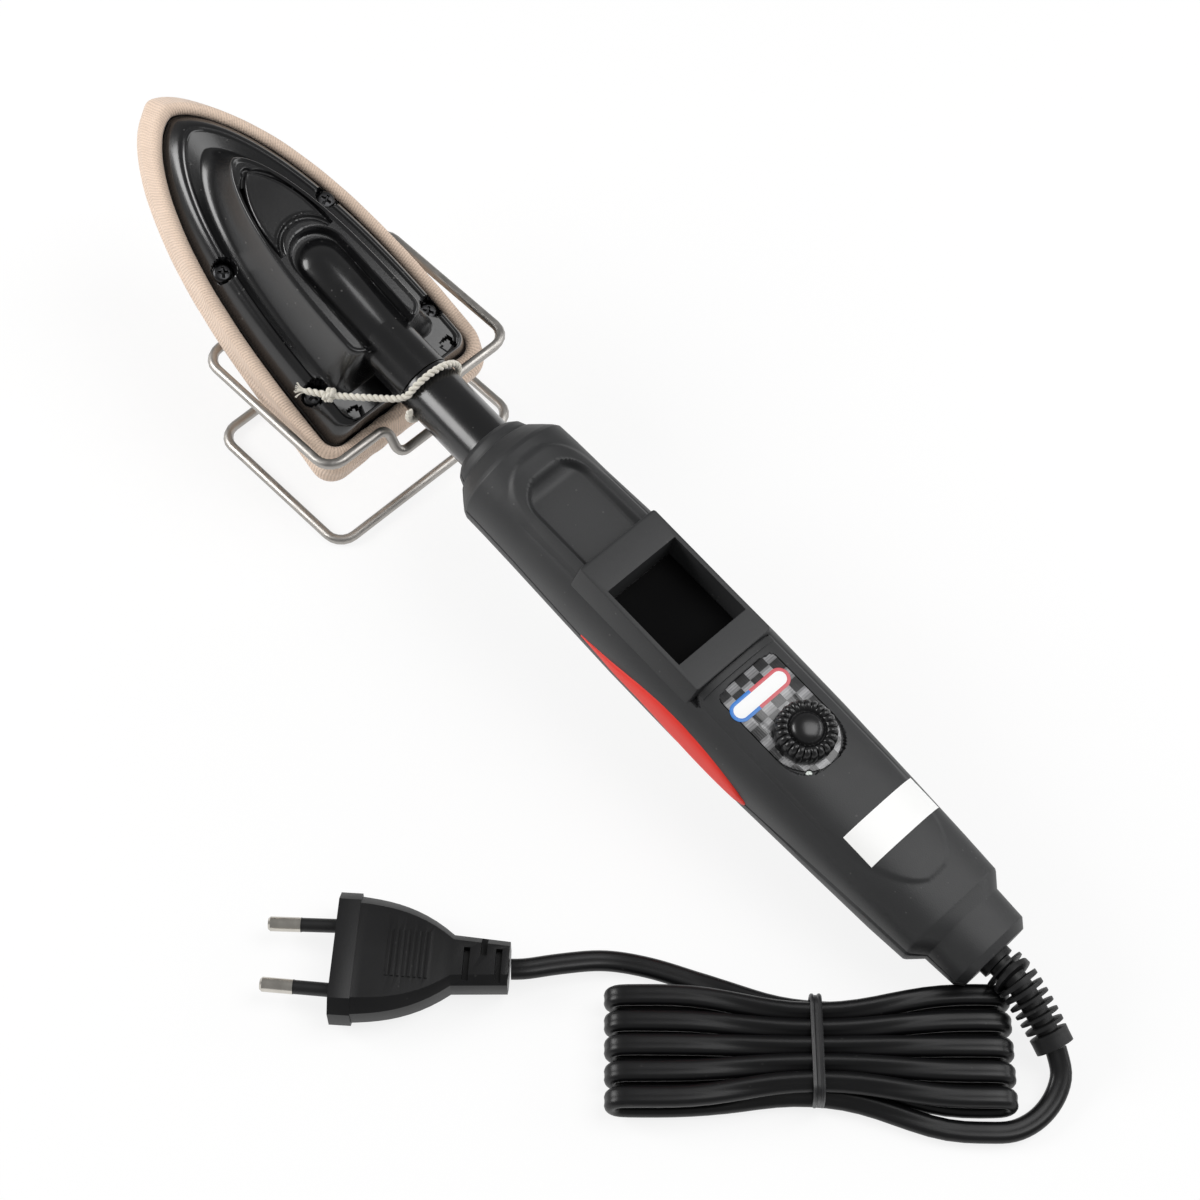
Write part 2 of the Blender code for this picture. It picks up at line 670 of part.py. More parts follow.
def build_head():
    look = material("glossy_black_housing", (0.012, 0.012, 0.014), 0.22)
    housing = loft("head_housing", [shoe_ring(level) for level in (
        SKIRT_FOOT, SKIRT_RIM, SHOULDER, COVE_FOOT, RIDGE_EDGE, RIDGE_TOP)], look, HEAD)

    below = list(SKIRT_FOOT[:3]) + [SKIRT_FOOT[3] - OVERRUN] * 2
    inner_shoulder = list(SHOULDER[:3]) + [SHOULDER[3] - HOUSING_WALL, SHOULDER[4] - HOUSING_WALL]
    cavity = loft("housing_cavity", [
        shoe_ring(below, HOUSING_WALL), shoe_ring(SKIRT_RIM, HOUSING_WALL),
        shoe_ring(inner_shoulder, HOUSING_WALL), shoe_ring(CAVITY_ROOF)], None, HEAD)
    boolean(housing, cavity)

    bosses, wells, places = [], [], []
    for along, side in HEAD_SCREW_PLACES:
        for sign in (-1.0, 1.0):
            places.append((-along, sign * side))
    for x, y in places:
        bosses.append((HEAD_BOSS_RADIUS, SKIRT_FOOT[3], HEAD_WELL_FLOOR + GAP, x, y))
        wells.append((WELL_RADIUS, HEAD_WELL_FLOOR, OVERRUN, x, y))
        wells.append((SCREW_SHANK + GAP, SKIRT_FOOT[3] - OVERRUN, HEAD_WELL_FLOOR + GAP, x, y))
    boolean(housing, rods("screw_bosses", bosses, None, HEAD), "UNION")
    for i, (x, y) in enumerate(places):
        well = rods("screw_well_%d" % (i + 1), wells[2 * i:2 * i + 1], None, HEAD)
        hole = rods("screw_hole_%d" % (i + 1), wells[2 * i + 1:2 * i + 2], None, HEAD, segments=16)
        boolean(housing, well)
        boolean(housing, hole)
        reach = SOLE_TOP - HEAD_SCREW_REACH
        head = HEAD_WELL_FLOOR + GAP
        turned("head_screw_%d" % (i + 1), [
            (0, head + SCREW_HEAD), (0.6 * SCREW_HEAD_RADIUS, head + SCREW_HEAD),
            (SCREW_HEAD_RADIUS, head + 0.5 * SCREW_HEAD), (SCREW_HEAD_RADIUS, head),
            (SCREW_SHANK, head), (SCREW_SHANK, reach), (0, reach)],
            material("blackened_screw", (0.02, 0.02, 0.022), 0.35, 0.8), HEAD, (x, y, 0), steps=20)

    # The valley's floor slopes like the ridge; its front end is round
    slope = (VALLEY_FLOOR_REAR - VALLEY_FLOOR_FRONT) / (VALLEY_FRONT - VALLEY_REAR)
    rings = []
    for rise, grow in ((0.0, -1.0), (1.0, 0.0)):
        outline = oval_outline(-VALLEY_FRONT, -VALLEY_REAR + OVERRUN, 0.5 * VALLEY_WIDTH + grow * ARC_WIDTH,
                               0.42 * VALLEY_WIDTH, 0.2 * VALLEY_WIDTH)
        level = VALLEY_FLOOR_FRONT + rise * VALLEY_CROWN
        rings.append([Vector((x, y, level + slope * (x + VALLEY_FRONT))) for x, y in outline])
    boolean(housing, loft("valley", rings, None, HEAD))

    # The neck's root grows out of the valley, on the neck's own axis
    root = rods("neck_root", [(NECK_RADIUS, 0, 0.62 * NECK_BEND, 0, 0)], None, HANDLE,
                (neck_end(), 0, 0), (0, -0.5 * math.pi, 0), 40)
    trim_low = list(CAVITY_ROOF[:3]) + [SKIRT_FOOT[3] - OVERRUN] * 2
    trim_high = list(CAVITY_ROOF[:3]) + [CAVITY_ROOF[3] + GAP, CAVITY_ROOF[4] + GAP]
    rings = [shoe_ring(trim_low, -OVERRUN), shoe_ring(trim_high, -OVERRUN)]
    trim = loft("neck_root_trim", rings, None, HEAD)
    boolean(root, trim)
    boolean(housing, root, "UNION")
    bore = rods("neck_root_bore", [(NECK_BORE + GAP, -OVERRUN, 0.42 * NECK_BEND, 0, 0)], None, HANDLE,
                (neck_end(), 0, 0), (0, -0.5 * math.pi, 0), 32)
    boolean(housing, bore)

    # Arc slot between the island and the valley, and two vents on the island's left flank
    centre = -VALLEY_FRONT + 0.42 * VALLEY_WIDTH
    arc = []
    for radius, order in ((ARC_RADIUS + ARC_WIDTH, 1), (ARC_RADIUS, -1)):
        for i in range(13)[::order]:
            angle = math.pi + math.radians(112.0) * (i / 12 - 0.5)
            arc.append((centre + radius * math.cos(angle), radius * math.sin(angle)))
    along = (RIDGE_TOP[0] - VALLEY_FRONT) / (RIDGE_TOP[0] - RIDGE_TOP[1])
    level = RIDGE_TOP[3] + (RIDGE_TOP[4] - RIDGE_TOP[3]) * along
    boolean(housing, slab("arc_slot", arc, level - ARC_DEPTH, level + OVERRUN, None, HEAD))
    outline = rounded_outline(-0.5 * VENT_LENGTH, 0.5 * VENT_LENGTH, 0.5 * VENT_WIDTH, 0.5 * VENT_WIDTH, 3)
    floor = RIDGE_TOP[3] - ARC_DEPTH
    for i, (along, side) in enumerate(VENT_PLACES):
        boolean(housing, slab("vent_%d" % (i + 1), outline, floor, OVERRUN, None, HEAD,
                              (-along, -side, 0), (0, 0, -VENT_TURN)))

    build_sole(places)
    build_neck()
    build_string()


def build_sole(screws):
    def plate(name, tip, rear, half, low, high, look, edge=None):
        levels = ((low, 0.0), (high, 0.0)) if edge is None else ((low, edge), (low + edge, 0.0), (high, 0.0))
        rings = []
        for height, inset in levels:
            outline = shoe_outline(tip - inset, rear + inset, half - inset)
            rings.append([Vector((x, y, height)) for x, y in outline])
        return loft(name, rings, look, HEAD)

    sole = plate("sole_plate", SOLE_TIP, SOLE_REAR, SOLE_HALF, SOLE_BOTTOM, SOLE_TOP,
                 material("cast_aluminium", (0.62, 0.63, 0.65), 0.35, 1.0), SOLE_CHAMFER)
    depth = SOLE_TOP - HEAD_SCREW_REACH - GAP
    holes = [(SCREW_SHANK + GAP, depth, SOLE_TOP + OVERRUN, x, y) for x, y in screws]
    boolean(sole, rods("sole_screw_holes", holes, None, HEAD, segments=16))
    base = SOLE_TOP + GAP
    plate("heating_element", HEATER_TIP, HEATER_REAR, HEATER_HALF, base, base + HEATER_THICK,
          material("mica_heater", (0.45, 0.36, 0.24), 0.5))
    base += HEATER_THICK + GAP
    plate("insulation_pad", PAD_TIP, PAD_REAR, PAD_HALF, base, base + PAD_THICK,
          material("ceramic_felt", (0.78, 0.76, 0.70), 0.95))
    rods("temperature_sensor", [(SENSOR_RADIUS, 0, SENSOR_LENGTH, 0, 0)],
         material("glass_sensor", (0.55, 0.25, 0.12), 0.3), HEAD,
         (-SENSOR_PLACE, 0, SOLE_TOP + GAP + SENSOR_RADIUS), (0, -0.5 * math.pi, 0), 16)

    # The cloth bag: up round the sole's edge and over it, to an elastic roll at the skirt
    low = SOLE_BOTTOM - GAP - COVER_WALL
    rim = SOLE_TOP + COVER_RIM_RISE
    rings = []

    def cloth(grow, height):
        grown = [Vector((x, y, height)) for x, y in shoe_outline(
            SOLE_TIP + grow, SOLE_REAR - grow, SOLE_HALF + grow, HEAD_CORNER + max(grow, 0.0))]
        rings.append(grown)

    def collar(grow, height):
        tip, rear, half = SKIRT_FOOT[0] + grow, SKIRT_FOOT[1] - grow, SKIRT_FOOT[2] + grow
        rings.append([Vector((x, y, height)) for x, y in shoe_outline(tip, rear, half)])

    outer = GAP + COVER_WALL
    cloth(outer - COVER_ROUND, low)
    cloth(outer - 0.3 * COVER_ROUND, low + 0.3 * COVER_ROUND)
    cloth(outer, low + COVER_ROUND)
    cloth(outer, SOLE_TOP)
    cloth(outer - 0.45 * COVER_WALL, SOLE_TOP + 0.35 * COVER_RIM_RISE)
    collar(GAP + 1.5 * COVER_ROLL, rim - 0.35 * COVER_ROLL)
    collar(GAP + 0.9 * COVER_ROLL, rim)
    collar(2.0 * GAP, rim - 0.3 * COVER_ROLL)
    collar(2.0 * GAP, SOLE_TOP + 2.0 * GAP)
    cloth(GAP, SOLE_TOP + GAP)
    cloth(GAP, SOLE_BOTTOM + SOLE_CHAMFER)
    cloth(GAP - SOLE_CHAMFER, SOLE_BOTTOM - GAP)
    loft("shoe_cover", rings, material("cotton_cover", (0.76, 0.58, 0.45), 0.95), HEAD)


def build_neck():
    """The neck: a tube turned about the iron's axis, with a spigot in the head's root."""
    back = NECK_BEND + NECK_JOINT - NECK_TAIL
    joint = GAP
    outer = [
        (NECK_BORE - LEAD_RADIUS, back), (NECK_FLANGE, back), (NECK_FLANGE, back - NECK_FLANGE_LENGTH),
        (NECK_RADIUS, back - NECK_FLANGE_LENGTH), (NECK_RADIUS, joint), (NECK_BORE, joint),
        (NECK_BORE, -NECK_SPIGOT), (NECK_BORE - LEAD_RADIUS, -NECK_SPIGOT)]
    turned("neck_tube", outer, material("glossy_black_neck", (0.014, 0.014, 0.016), 0.2), HANDLE,
           (neck_end(), 0, 0), (0, 0.5 * math.pi, 0), 40, True)
    for i, sign in enumerate((-1.0, 1.0)):
        heater = Vector((-HEATER_REAR - 0.1 * HEATER_TIP, sign * LEAD_SPREAD,
                         SOLE_TOP + 2.0 * GAP + HEATER_THICK))
        bend = Matrix.Translation((-NECK_BEND, 0, 0)) @ Matrix.Rotation(HEAD_PITCH, 4, "Y")
        end = bend @ heater
        above = bend @ (heater + Vector((0, 0, 3.0 * LEAD_RADIUS)))
        rise = bend @ (heater + Vector((0.1 * HEATER_TIP, 0, 0.42 * HEATER_TIP * 0.3)))
        route = [
            (BOARD_FRONT - GAP, sign * LEAD_BOARD_SPREAD, BOARD_TOP - 0.5 * BOARD_THICK),
            (-0.5 * POST_FRONT, sign * LEAD_BOARD_SPREAD, BOARD_TOP - BOARD_THICK),
            (-1.8 * POST_FRONT, sign * 0.5 * (LEAD_BOARD_SPREAD + LEAD_SPREAD), 0.3 * BOARD_TOP),
            (-CAVITY_FRONT, sign * LEAD_SPREAD, 0),
            (-HANDLE_NOSE, sign * LEAD_SPREAD, 0),
            (-NECK_BEND, sign * LEAD_SPREAD, 0),
            (-NECK_BEND - 0.25 * HEATER_TIP, sign * LEAD_SPREAD, -0.1 * LEAD_SPREAD),
            rise, above, end]
        tube("heater_lead_%d" % (i + 1), smooth_route(route, 4.0 * LEAD_RADIUS), LEAD_RADIUS,
             material("heater_lead_sleeve", (0.72, 0.70, 0.64), 0.7), HANDLE)


def build_string():
    """The draw string: knotted over the housing's left flank, then once round the neck."""
    radius = NECK_RADIUS + GAP + STRING_RADIUS
    bend = Matrix.Translation((-NECK_BEND, 0, 0)) @ Matrix.Rotation(HEAD_PITCH, 4, "Y")
    route = [bend @ Vector(p) for p in STRING_ROUTE]
    start, end = math.radians(150.0), math.radians(-190.0)
    for i in range(STRING_TURNS + 1):
        share = i / STRING_TURNS
        angle = start + (end - start) * share
        place = STRING_PLACE - NECK_BEND + STRING_STEP * (share - 0.5)
        route.append(Vector((place, radius * math.cos(angle), radius * math.sin(angle))))
    free = len(STRING_ROUTE)
    path = smooth_route(route[:free + 1], 2.2 * STRING_RADIUS)[:-1] + route[free:]
    knot = bend @ Vector(STRING_ROUTE[1])
    radii = []
    for p in path:
        near = max(0.0, 1.0 - (p - knot).length / (2.2 * STRING_KNOT))
        radii.append(STRING_RADIUS + (STRING_KNOT - STRING_RADIUS) * near * (2.0 - near))
    look = material("draw_cord", (0.80, 0.76, 0.68), 0.9)
    tube("draw_string", path, STRING_RADIUS, look, HANDLE, 1, False, radii)


# The handle

def build_handle():
    look = material("matte_grey_plastic", (0.040, 0.043, 0.046), 0.62)
    outer = [handle_ring(x) for x in handle_places()]
    inner_places = [-CAVITY_FRONT, -0.6 * CAVITY_FRONT, -GAP, 0.5 * BEZEL_LENGTH, BEZEL_LENGTH,
                    PANEL_FRONT + PANEL_LENGTH, 0.15 * KNOB_PLACE + 0.85 * CAVITY_REAR, CAVITY_REAR]
    inner = []
    for x in inner_places:
        ceiling = THUMB_FLOOR - SHELL_WALL if x < 0.0 else None
        inner.append(handle_ring(x, -SHELL_WALL, ceiling, 32))
    cavity = loft("handle_cavity", inner, None, HANDLE)

    tongue_plan = oval_outline(-TONGUE_FRONT, KNOB_PLACE + TONGUE_REAR_SHARE * REAR_STRETCH,
                               0.5 * TONGUE_WIDTH, TONGUE_NOSE, TONGUE_TAIL_SHARE * REAR_STRETCH, 14)
    tongue = loft("tongue_surface", [handle_ring(x, TONGUE_RAISE) for x in handle_places()], None, HANDLE)
    low, high = THUMB_FLOOR - SHELL_WALL, BEZEL_TOP + OVERRUN
    boolean(tongue, slab("tongue_outline", tongue_plan, low, high, None, HANDLE), "INTERSECT")

    upper = loft("handle_upper_shell", outer, look, HANDLE)
    lower = loft("handle_lower_shell", outer, look, HANDLE)
    span = HANDLE_LENGTH + 2.0 * OVERRUN
    middle = 0.5 * (HANDLE_END - HANDLE_NOSE)
    deep = 2.0 * HANDLE_WIDTH
    boolean(upper, tongue, "UNION")
    boolean(upper, box("below_parting", (span, deep, deep), None, HANDLE,
                       (middle, 0, -PARTING_DEPTH + 0.5 * GAP - 0.5 * deep)))
    boolean(lower, box("above_parting", (span, deep, deep), None, HANDLE,
                       (middle, 0, -PARTING_DEPTH - 0.5 * GAP + 0.5 * deep)))
    for shell in (upper, lower):
        boolean(shell, cavity)

    # Bores at both ends: the neck's seat with a groove for its flange, and the cord boot's hole
    groove = NECK_TAIL - HANDLE_NOSE + NECK_FLANGE_LENGTH + GAP
    seat_end = NECK_TAIL - HANDLE_NOSE - OVERRUN
    seat = turned("neck_seat", [
        (0, OVERRUN), (NECK_RADIUS + GAP, OVERRUN), (NECK_RADIUS + GAP, groove), (NECK_FLANGE + GAP, groove),
        (NECK_FLANGE + GAP, seat_end), (0, seat_end)],
        None, HANDLE, (-HANDLE_NOSE, 0, 0), (0, -0.5 * math.pi, 0), 40)
    exit_height = boot_axis_height()
    boot_run = (BOOT_TAIL + GAP, CAVITY_REAR - OVERRUN, HANDLE_END + OVERRUN, 0, 0)
    boot_hole = rods("boot_hole", [boot_run], None, HANDLE, (0, 0, exit_height), (0, 0.5 * math.pi, 0), 28)
    for shell in (upper, lower):
        boolean(shell, seat)
        boolean(shell, boot_hole)

    # Screw posts: the lower shell's carry the board and the case screws, the upper's meet them
    floor = -HANDLE_KEEL
    lower_posts, upper_posts = [], []
    for x in (BOARD_POST_FRONT, KNOB_PLACE + BOARD_POST_SHARE * REAR_STRETCH):
        lower_posts.append((0.6 * POST_RADIUS, floor + SHELL_WALL, BOARD_TOP - BOARD_THICK - GAP, x, 0))
    case_screws = (-POST_FRONT, POST_REAR)
    for x in case_screws:
        keel = handle_station(x)[3]
        lower_posts.append((POST_RADIUS, keel + 0.5 * SHELL_WALL, -PARTING_DEPTH - 0.5 * GAP, x, 0))
        roof = THUMB_FLOOR - 0.5 * SHELL_WALL if x < 0.0 else handle_station(x)[2] - 0.5 * SHELL_WALL
        upper_posts.append((POST_RADIUS, -PARTING_DEPTH + 0.5 * GAP, roof, x, 0))
    for i, entry in enumerate(lower_posts):
        keel = handle_station(entry[3])[3]
        post = (entry[0], keel + 0.5 * SHELL_WALL, entry[2], entry[3], entry[4])
        boolean(lower, rods("lower_post_%d" % (i + 1), [post], None, HANDLE, segments=18), "UNION")
    for i, entry in enumerate(upper_posts):
        boolean(upper, rods("upper_post_%d" % (i + 1), [entry], None, HANDLE, segments=18), "UNION")
    screw_look = material("zinc_screw", (0.55, 0.55, 0.56), 0.35, 1.0)
    for i, x in enumerate(case_screws):
        keel = handle_station(x)[3]
        head = keel + CASE_WELL
        top = -PARTING_DEPTH + 2.0 * SCREW_HEAD
        for shell, kind, entry, sides in (
                (lower, "well", (WELL_RADIUS, keel - OVERRUN, head, x, 0), 20),
                (lower, "hole", (SCREW_SHANK + GAP, keel, 0, x, 0), 16),
                (upper, "pilot", (SCREW_SHANK + GAP, -2.0 * PARTING_DEPTH, top + GAP, x, 0), 16)):
            boolean(shell, rods("case_%s_%d" % (kind, i + 1), [entry], None, HANDLE, segments=sides))
        seat_level = head - GAP
        turned("case_screw_%d" % (i + 1), [
            (0, top), (SCREW_SHANK, top), (SCREW_SHANK, seat_level), (SCREW_HEAD_RADIUS, seat_level),
            (SCREW_HEAD_RADIUS, seat_level - 0.5 * SCREW_HEAD),
            (0.6 * SCREW_HEAD_RADIUS, seat_level - SCREW_HEAD), (0, seat_level - SCREW_HEAD)],
            screw_look, HANDLE, (x, 0, 0), steps=20)

    # Thumb rest: its front wall slopes down to a flat floor
    rings = []
    for rise, slope in ((0.0, 0.0), (1.0, 1.0)):
        height = THUMB_FLOOR + rise * 0.5 * OVERRUN
        outline = oval_outline(-THUMB_FRONT + THUMB_SLOPE * (1.0 - slope), OVERRUN,
                               0.5 * THUMB_WIDTH - (1.0 - slope) * TONGUE_RAISE, THUMB_NOSE, TONGUE_RAISE)
        rings.append([Vector((x, y, height)) for x, y in outline])
    rings.append([Vector((p.x, p.y, THUMB_FLOOR + 2.0 * OVERRUN)) for p in rings[-1]])
    boolean(upper, loft("thumb_rest", rings, None, HANDLE))

    build_bezel(upper)
    build_panel(upper)
    build_inserts(upper, lower)
    build_electronics()


def build_bezel(upper):
    """The display bezel: a saddle over the tongue with a tub below it, and the empty bay's floor."""
    look = material("matte_grey_bezel", (0.043, 0.046, 0.049), 0.6)
    half_top, half_foot = 0.5 * BEZEL_TOP_WIDTH, 0.5 * BEZEL_FOOT_WIDTH
    seat = BEZEL_SEAT
    section = [(-half_foot, seat), (half_foot, seat), (half_top, BEZEL_TOP), (-half_top, BEZEL_TOP)]
    rings = [[Vector((x, y, z)) for y, z in section] for x in (0.0, BEZEL_LENGTH)]
    bezel = loft("display_bezel", rings, look, HANDLE)
    bevel(bezel, BEZEL_ROUND, 2, math.radians(50.0))
    tub_floor = BEZEL_TOP - BAY_DEPTH - BAY_PANEL - BAY_WALL
    tub_half = 0.5 * BAY_WIDTH + BAY_WALL
    x0, x1 = BAY_FRONT - BAY_WALL, BAY_FRONT + BAY_LENGTH + BAY_WALL
    tub = box("bezel_tub", (x1 - x0, 2.0 * tub_half, seat + BEZEL_ROUND - tub_floor), None, HANDLE,
              (0.5 * (x0 + x1), 0, 0.5 * (seat + BEZEL_ROUND + tub_floor)))
    boolean(bezel, tub, "UNION")
    bay_floor = BEZEL_TOP - BAY_DEPTH - BAY_PANEL
    bay_mid = BAY_FRONT + 0.5 * BAY_LENGTH
    boolean(bezel, box("bay", (BAY_LENGTH, BAY_WIDTH, OVERRUN + BEZEL_TOP - bay_floor), None, HANDLE,
                       (bay_mid, 0, 0.5 * (OVERRUN + BEZEL_TOP + bay_floor))))
    box("bay_floor", (BAY_LENGTH - 2.0 * GAP, BAY_WIDTH - 2.0 * GAP, BAY_PANEL - GAP),
        material("matte_black_panel", (0.010, 0.010, 0.011), 0.7), HANDLE,
        (bay_mid, 0, bay_floor + GAP + 0.5 * (BAY_PANEL - GAP)))
    deep = 2.0 * BEZEL_TOP
    wide = (BEZEL_LENGTH + 2.0 * GAP, BEZEL_FOOT_WIDTH + 2.0 * GAP, deep)
    middle = (0.5 * BEZEL_LENGTH, 0, BEZEL_SEAT - GAP + 0.5 * deep)
    boolean(upper, box("bezel_opening", wide, None, HANDLE, middle))
    narrow = (x1 - x0 + 2.0 * GAP, 2.0 * (tub_half + GAP), deep)
    middle = (0.5 * (x0 + x1), 0, tub_floor - GAP + 0.5 * deep)
    boolean(upper, box("tub_opening", narrow, None, HANDLE, middle))


def panel_floor():
    return HANDLE_CROWN - PANEL_DEPTH


def build_panel(upper):
    floor = panel_floor()
    boolean(upper, slab("panel_recess", panel_outline(0.0), floor, floor + OVERRUN, None, HANDLE))
    bush_run = (POT_BUSH_RADIUS + GAP, BOARD_TOP, floor + OVERRUN, 0, 0)
    bush = rods("pot_bush_hole", [bush_run], None, HANDLE, (KNOB_PLACE, 0, 0), segments=28)
    boolean(upper, bush)
    light_run = (PILOT_RADIUS + GAP, BOARD_TOP + GAP, floor + OVERRUN, 0, 0)
    light = rods("pilot_hole", [light_run], None, HANDLE, (PILOT_PLACE, -PILOT_SIDE, 0), segments=16)
    boolean(upper, light)
    panel = slab("scale_panel", panel_outline(GAP), floor + GAP, floor + GAP + PANEL_SKIN,
                 material("panel_film", (0.25, 0.25, 0.26), 0.4), HANDLE)
    boolean(panel, bush)
    boolean(panel, light)
    skin_top = floor + PANEL_SKIN
    turned("pilot_light", [
        (0, skin_top + 3.0 * GAP), (0.6 * PILOT_RADIUS, skin_top + 2.4 * GAP),
        (PILOT_RADIUS, skin_top + GAP), (PILOT_RADIUS, BOARD_TOP + GAP), (0, BOARD_TOP + GAP)],
        material("clear_lens", (0.75, 0.78, 0.75), 0.2), HANDLE, (PILOT_PLACE, -PILOT_SIDE, 0), steps=16)

    # Knob: ribbed skirt with a domed crown, bored for the shaft
    base = panel_floor() + PANEL_SKIN + 2.0 * GAP
    count = 3 * KNOB_RIBS

    def knob_ring(radius, height, rib):
        ring = []
        for i in range(count):
            angle = 2.0 * math.pi * i / count
            wave = 0.5 + 0.5 * math.cos(KNOB_RIBS * angle)
            r = radius * (1.0 - rib * (1.0 - wave))
            ring.append(Vector((r * math.cos(angle), r * math.sin(angle), height)))
        return ring

    crown = KNOB_CROWN_SHARE * KNOB_RADIUS
    top = base + KNOB_HEIGHT
    knob = loft("temperature_knob", [
        knob_ring(KNOB_RADIUS, base, KNOB_RIB_SHARE),
        knob_ring(KNOB_RADIUS, base + 0.45 * KNOB_HEIGHT, KNOB_RIB_SHARE),
        knob_ring(0.93 * KNOB_RADIUS, base + 0.68 * KNOB_HEIGHT, KNOB_RIB_SHARE),
        knob_ring(0.78 * KNOB_RADIUS, top - KNOB_CROWN_RISE, 0.6 * KNOB_RIB_SHARE),
        knob_ring(crown, top - 0.85 * KNOB_CROWN_RISE, 0.0),
        knob_ring(0.6 * crown, top - 0.35 * KNOB_CROWN_RISE, 0.0),
        knob_ring(0.2 * crown, top, 0.0)],
        material("black_knob", (0.008, 0.008, 0.009), 0.28), HANDLE, (KNOB_PLACE, 0, 0))
    bore_top = base + SHAFT_HOLD
    boolean(knob, rods("knob_bore", [(SHAFT_RADIUS + GAP, base - OVERRUN, bore_top, 0, 0)], None, HANDLE,
                       (KNOB_PLACE, 0, 0), segments=20))
    metal = material("nickel_shaft", (0.6, 0.6, 0.58), 0.3, 1.0)
    body_top = BOARD_TOP + GAP + POT_HEIGHT
    turned("potentiometer_shaft", [
        (0, bore_top - GAP), (SHAFT_RADIUS, bore_top - GAP),
        (SHAFT_RADIUS, body_top + GAP), (0, body_top + GAP)], metal, HANDLE, (KNOB_PLACE, 0, 0), steps=20)
    look = material("pot_body", (0.03, 0.10, 0.06), 0.5)
    pot = box("potentiometer", (POT_BODY, POT_BODY, POT_HEIGHT), look, HANDLE,
              (KNOB_PLACE, 0, BOARD_TOP + GAP + 0.5 * POT_HEIGHT))
    bush_top = panel_floor()
    ring = turned("pot_bush", [
        (POT_BUSH_RADIUS, bush_top), (POT_BUSH_RADIUS, body_top - POT_HEIGHT * 0.5),
        (SHAFT_RADIUS + GAP, body_top - POT_HEIGHT * 0.5), (SHAFT_RADIUS + GAP, bush_top)],
        None, HANDLE, (KNOB_PLACE, 0, 0), (0, 0, 0), 28, True)
    boolean(pot, ring, "UNION")


def panel_outline(inset):
    """The scale panel: two small corners in front, a round rear end like the tongue's."""
    x0, x1 = PANEL_FRONT + inset, PANEL_FRONT + PANEL_LENGTH - inset
    half, corner, tail = 0.5 * PANEL_WIDTH - inset, PANEL_CORNER - inset, PANEL_TAIL
    points = []
    for i in range(13):
        angle = math.pi * (0.5 - i / 12)
        points.append((x1 - tail + tail * math.cos(angle), half * math.sin(angle)))
    for cy, start in ((corner - half, -0.5), (half - corner, -1.0)):
        for i in range(5):
            angle = math.pi * (start - 0.5 * i / 4)
            points.append((x0 + corner + corner * math.cos(angle), cy + corner * math.sin(angle)))
    return points


def build_inserts(upper, lower):
    """Soft grip inserts: a lens on each flank, across the parting line, a little proud."""
    steps = 14

    def lens(grow):
        mid = INSERT_FRONT + 0.5 * INSERT_LENGTH
        half, tall = 0.5 * INSERT_LENGTH + grow, 0.5 * INSERT_HEIGHT + grow
        points = []
        for i in range(2 * steps):
            angle = math.pi * i / steps
            rise = math.copysign(abs(math.sin(angle)) ** 0.8, math.sin(angle))
            points.append((mid + half * math.cos(angle), -INSERT_DROP + tall * rise))
        return points

    look = material("red_grip_insert", (0.80, 0.045, 0.03), 0.55)
    proud = loft("insert_surface", [handle_ring(x, INSERT_PROUD) for x in handle_places()], None, HANDLE)
    half = 0.5 * HANDLE_WIDTH
    for side, sign in (("left", -1.0), ("right", 1.0)):
        inner, out = half - INSERT_DEPTH, half + OVERRUN
        turn = (0.5 * math.pi, 0, 0)
        low, high = (inner, out) if sign < 0.0 else (-out, -inner)
        insert = slab("side_insert_" + side, lens(0.0), low, high, look, HANDLE, (0, 0, 0), turn)
        boolean(insert, proud, "INTERSECT")
        low, high = (inner - GAP, out) if sign < 0.0 else (-out, GAP - inner)
        pocket = slab("insert_pocket_" + side, lens(GAP), low, high, None, HANDLE, (0, 0, 0), turn)
        boolean(upper, pocket)
        boolean(lower, pocket)


def build_electronics():
    board_look = material("green_board", (0.02, 0.16, 0.07), 0.5)
    middle = 0.5 * (BOARD_FRONT + BOARD_REAR)
    box("circuit_board", (BOARD_REAR - BOARD_FRONT, BOARD_WIDTH, BOARD_THICK), board_look, HANDLE,
        (middle, 0, BOARD_TOP - 0.5 * BOARD_THICK))
    under = BOARD_TOP - BOARD_THICK - GAP
    box("filter_capacitor", CAPACITOR, material("capacitor_yellow", (0.75, 0.55, 0.08), 0.5), HANDLE,
        (CAPACITOR_PLACE, 0, under - 0.5 * CAPACITOR[2]))
    over = BOARD_TOP + GAP
    box("triac", (TRIAC[1], TRIAC[0], TRIAC[2]), material("triac_body", (0.02, 0.02, 0.02), 0.5), HANDLE,
        (KNOB_PLACE + TRIAC_SHARE * REAR_STRETCH, 0, over + 0.5 * TRIAC[2]))
    box("terminal_block", TERMINAL, material("terminal_green", (0.05, 0.30, 0.10), 0.5), HANDLE,
        (KNOB_PLACE + TERMINAL_SHARE * REAR_STRETCH, 0, under - 0.5 * TERMINAL[2]))
    place = CAVITY_REAR - 0.6 * CLAMP_LENGTH
    low = cavity_floor(place, 0.5 * CLAMP_WIDTH) + GAP
    clamp_height = boot_axis_height() + CLAMP_RISE - low
    look = material("clamp_plastic", (0.6, 0.6, 0.58), 0.5)
    box("cord_clamp", (CLAMP_LENGTH, CLAMP_WIDTH, clamp_height), look, HANDLE,
        (place, 0, low + 0.5 * clamp_height))


# Stand

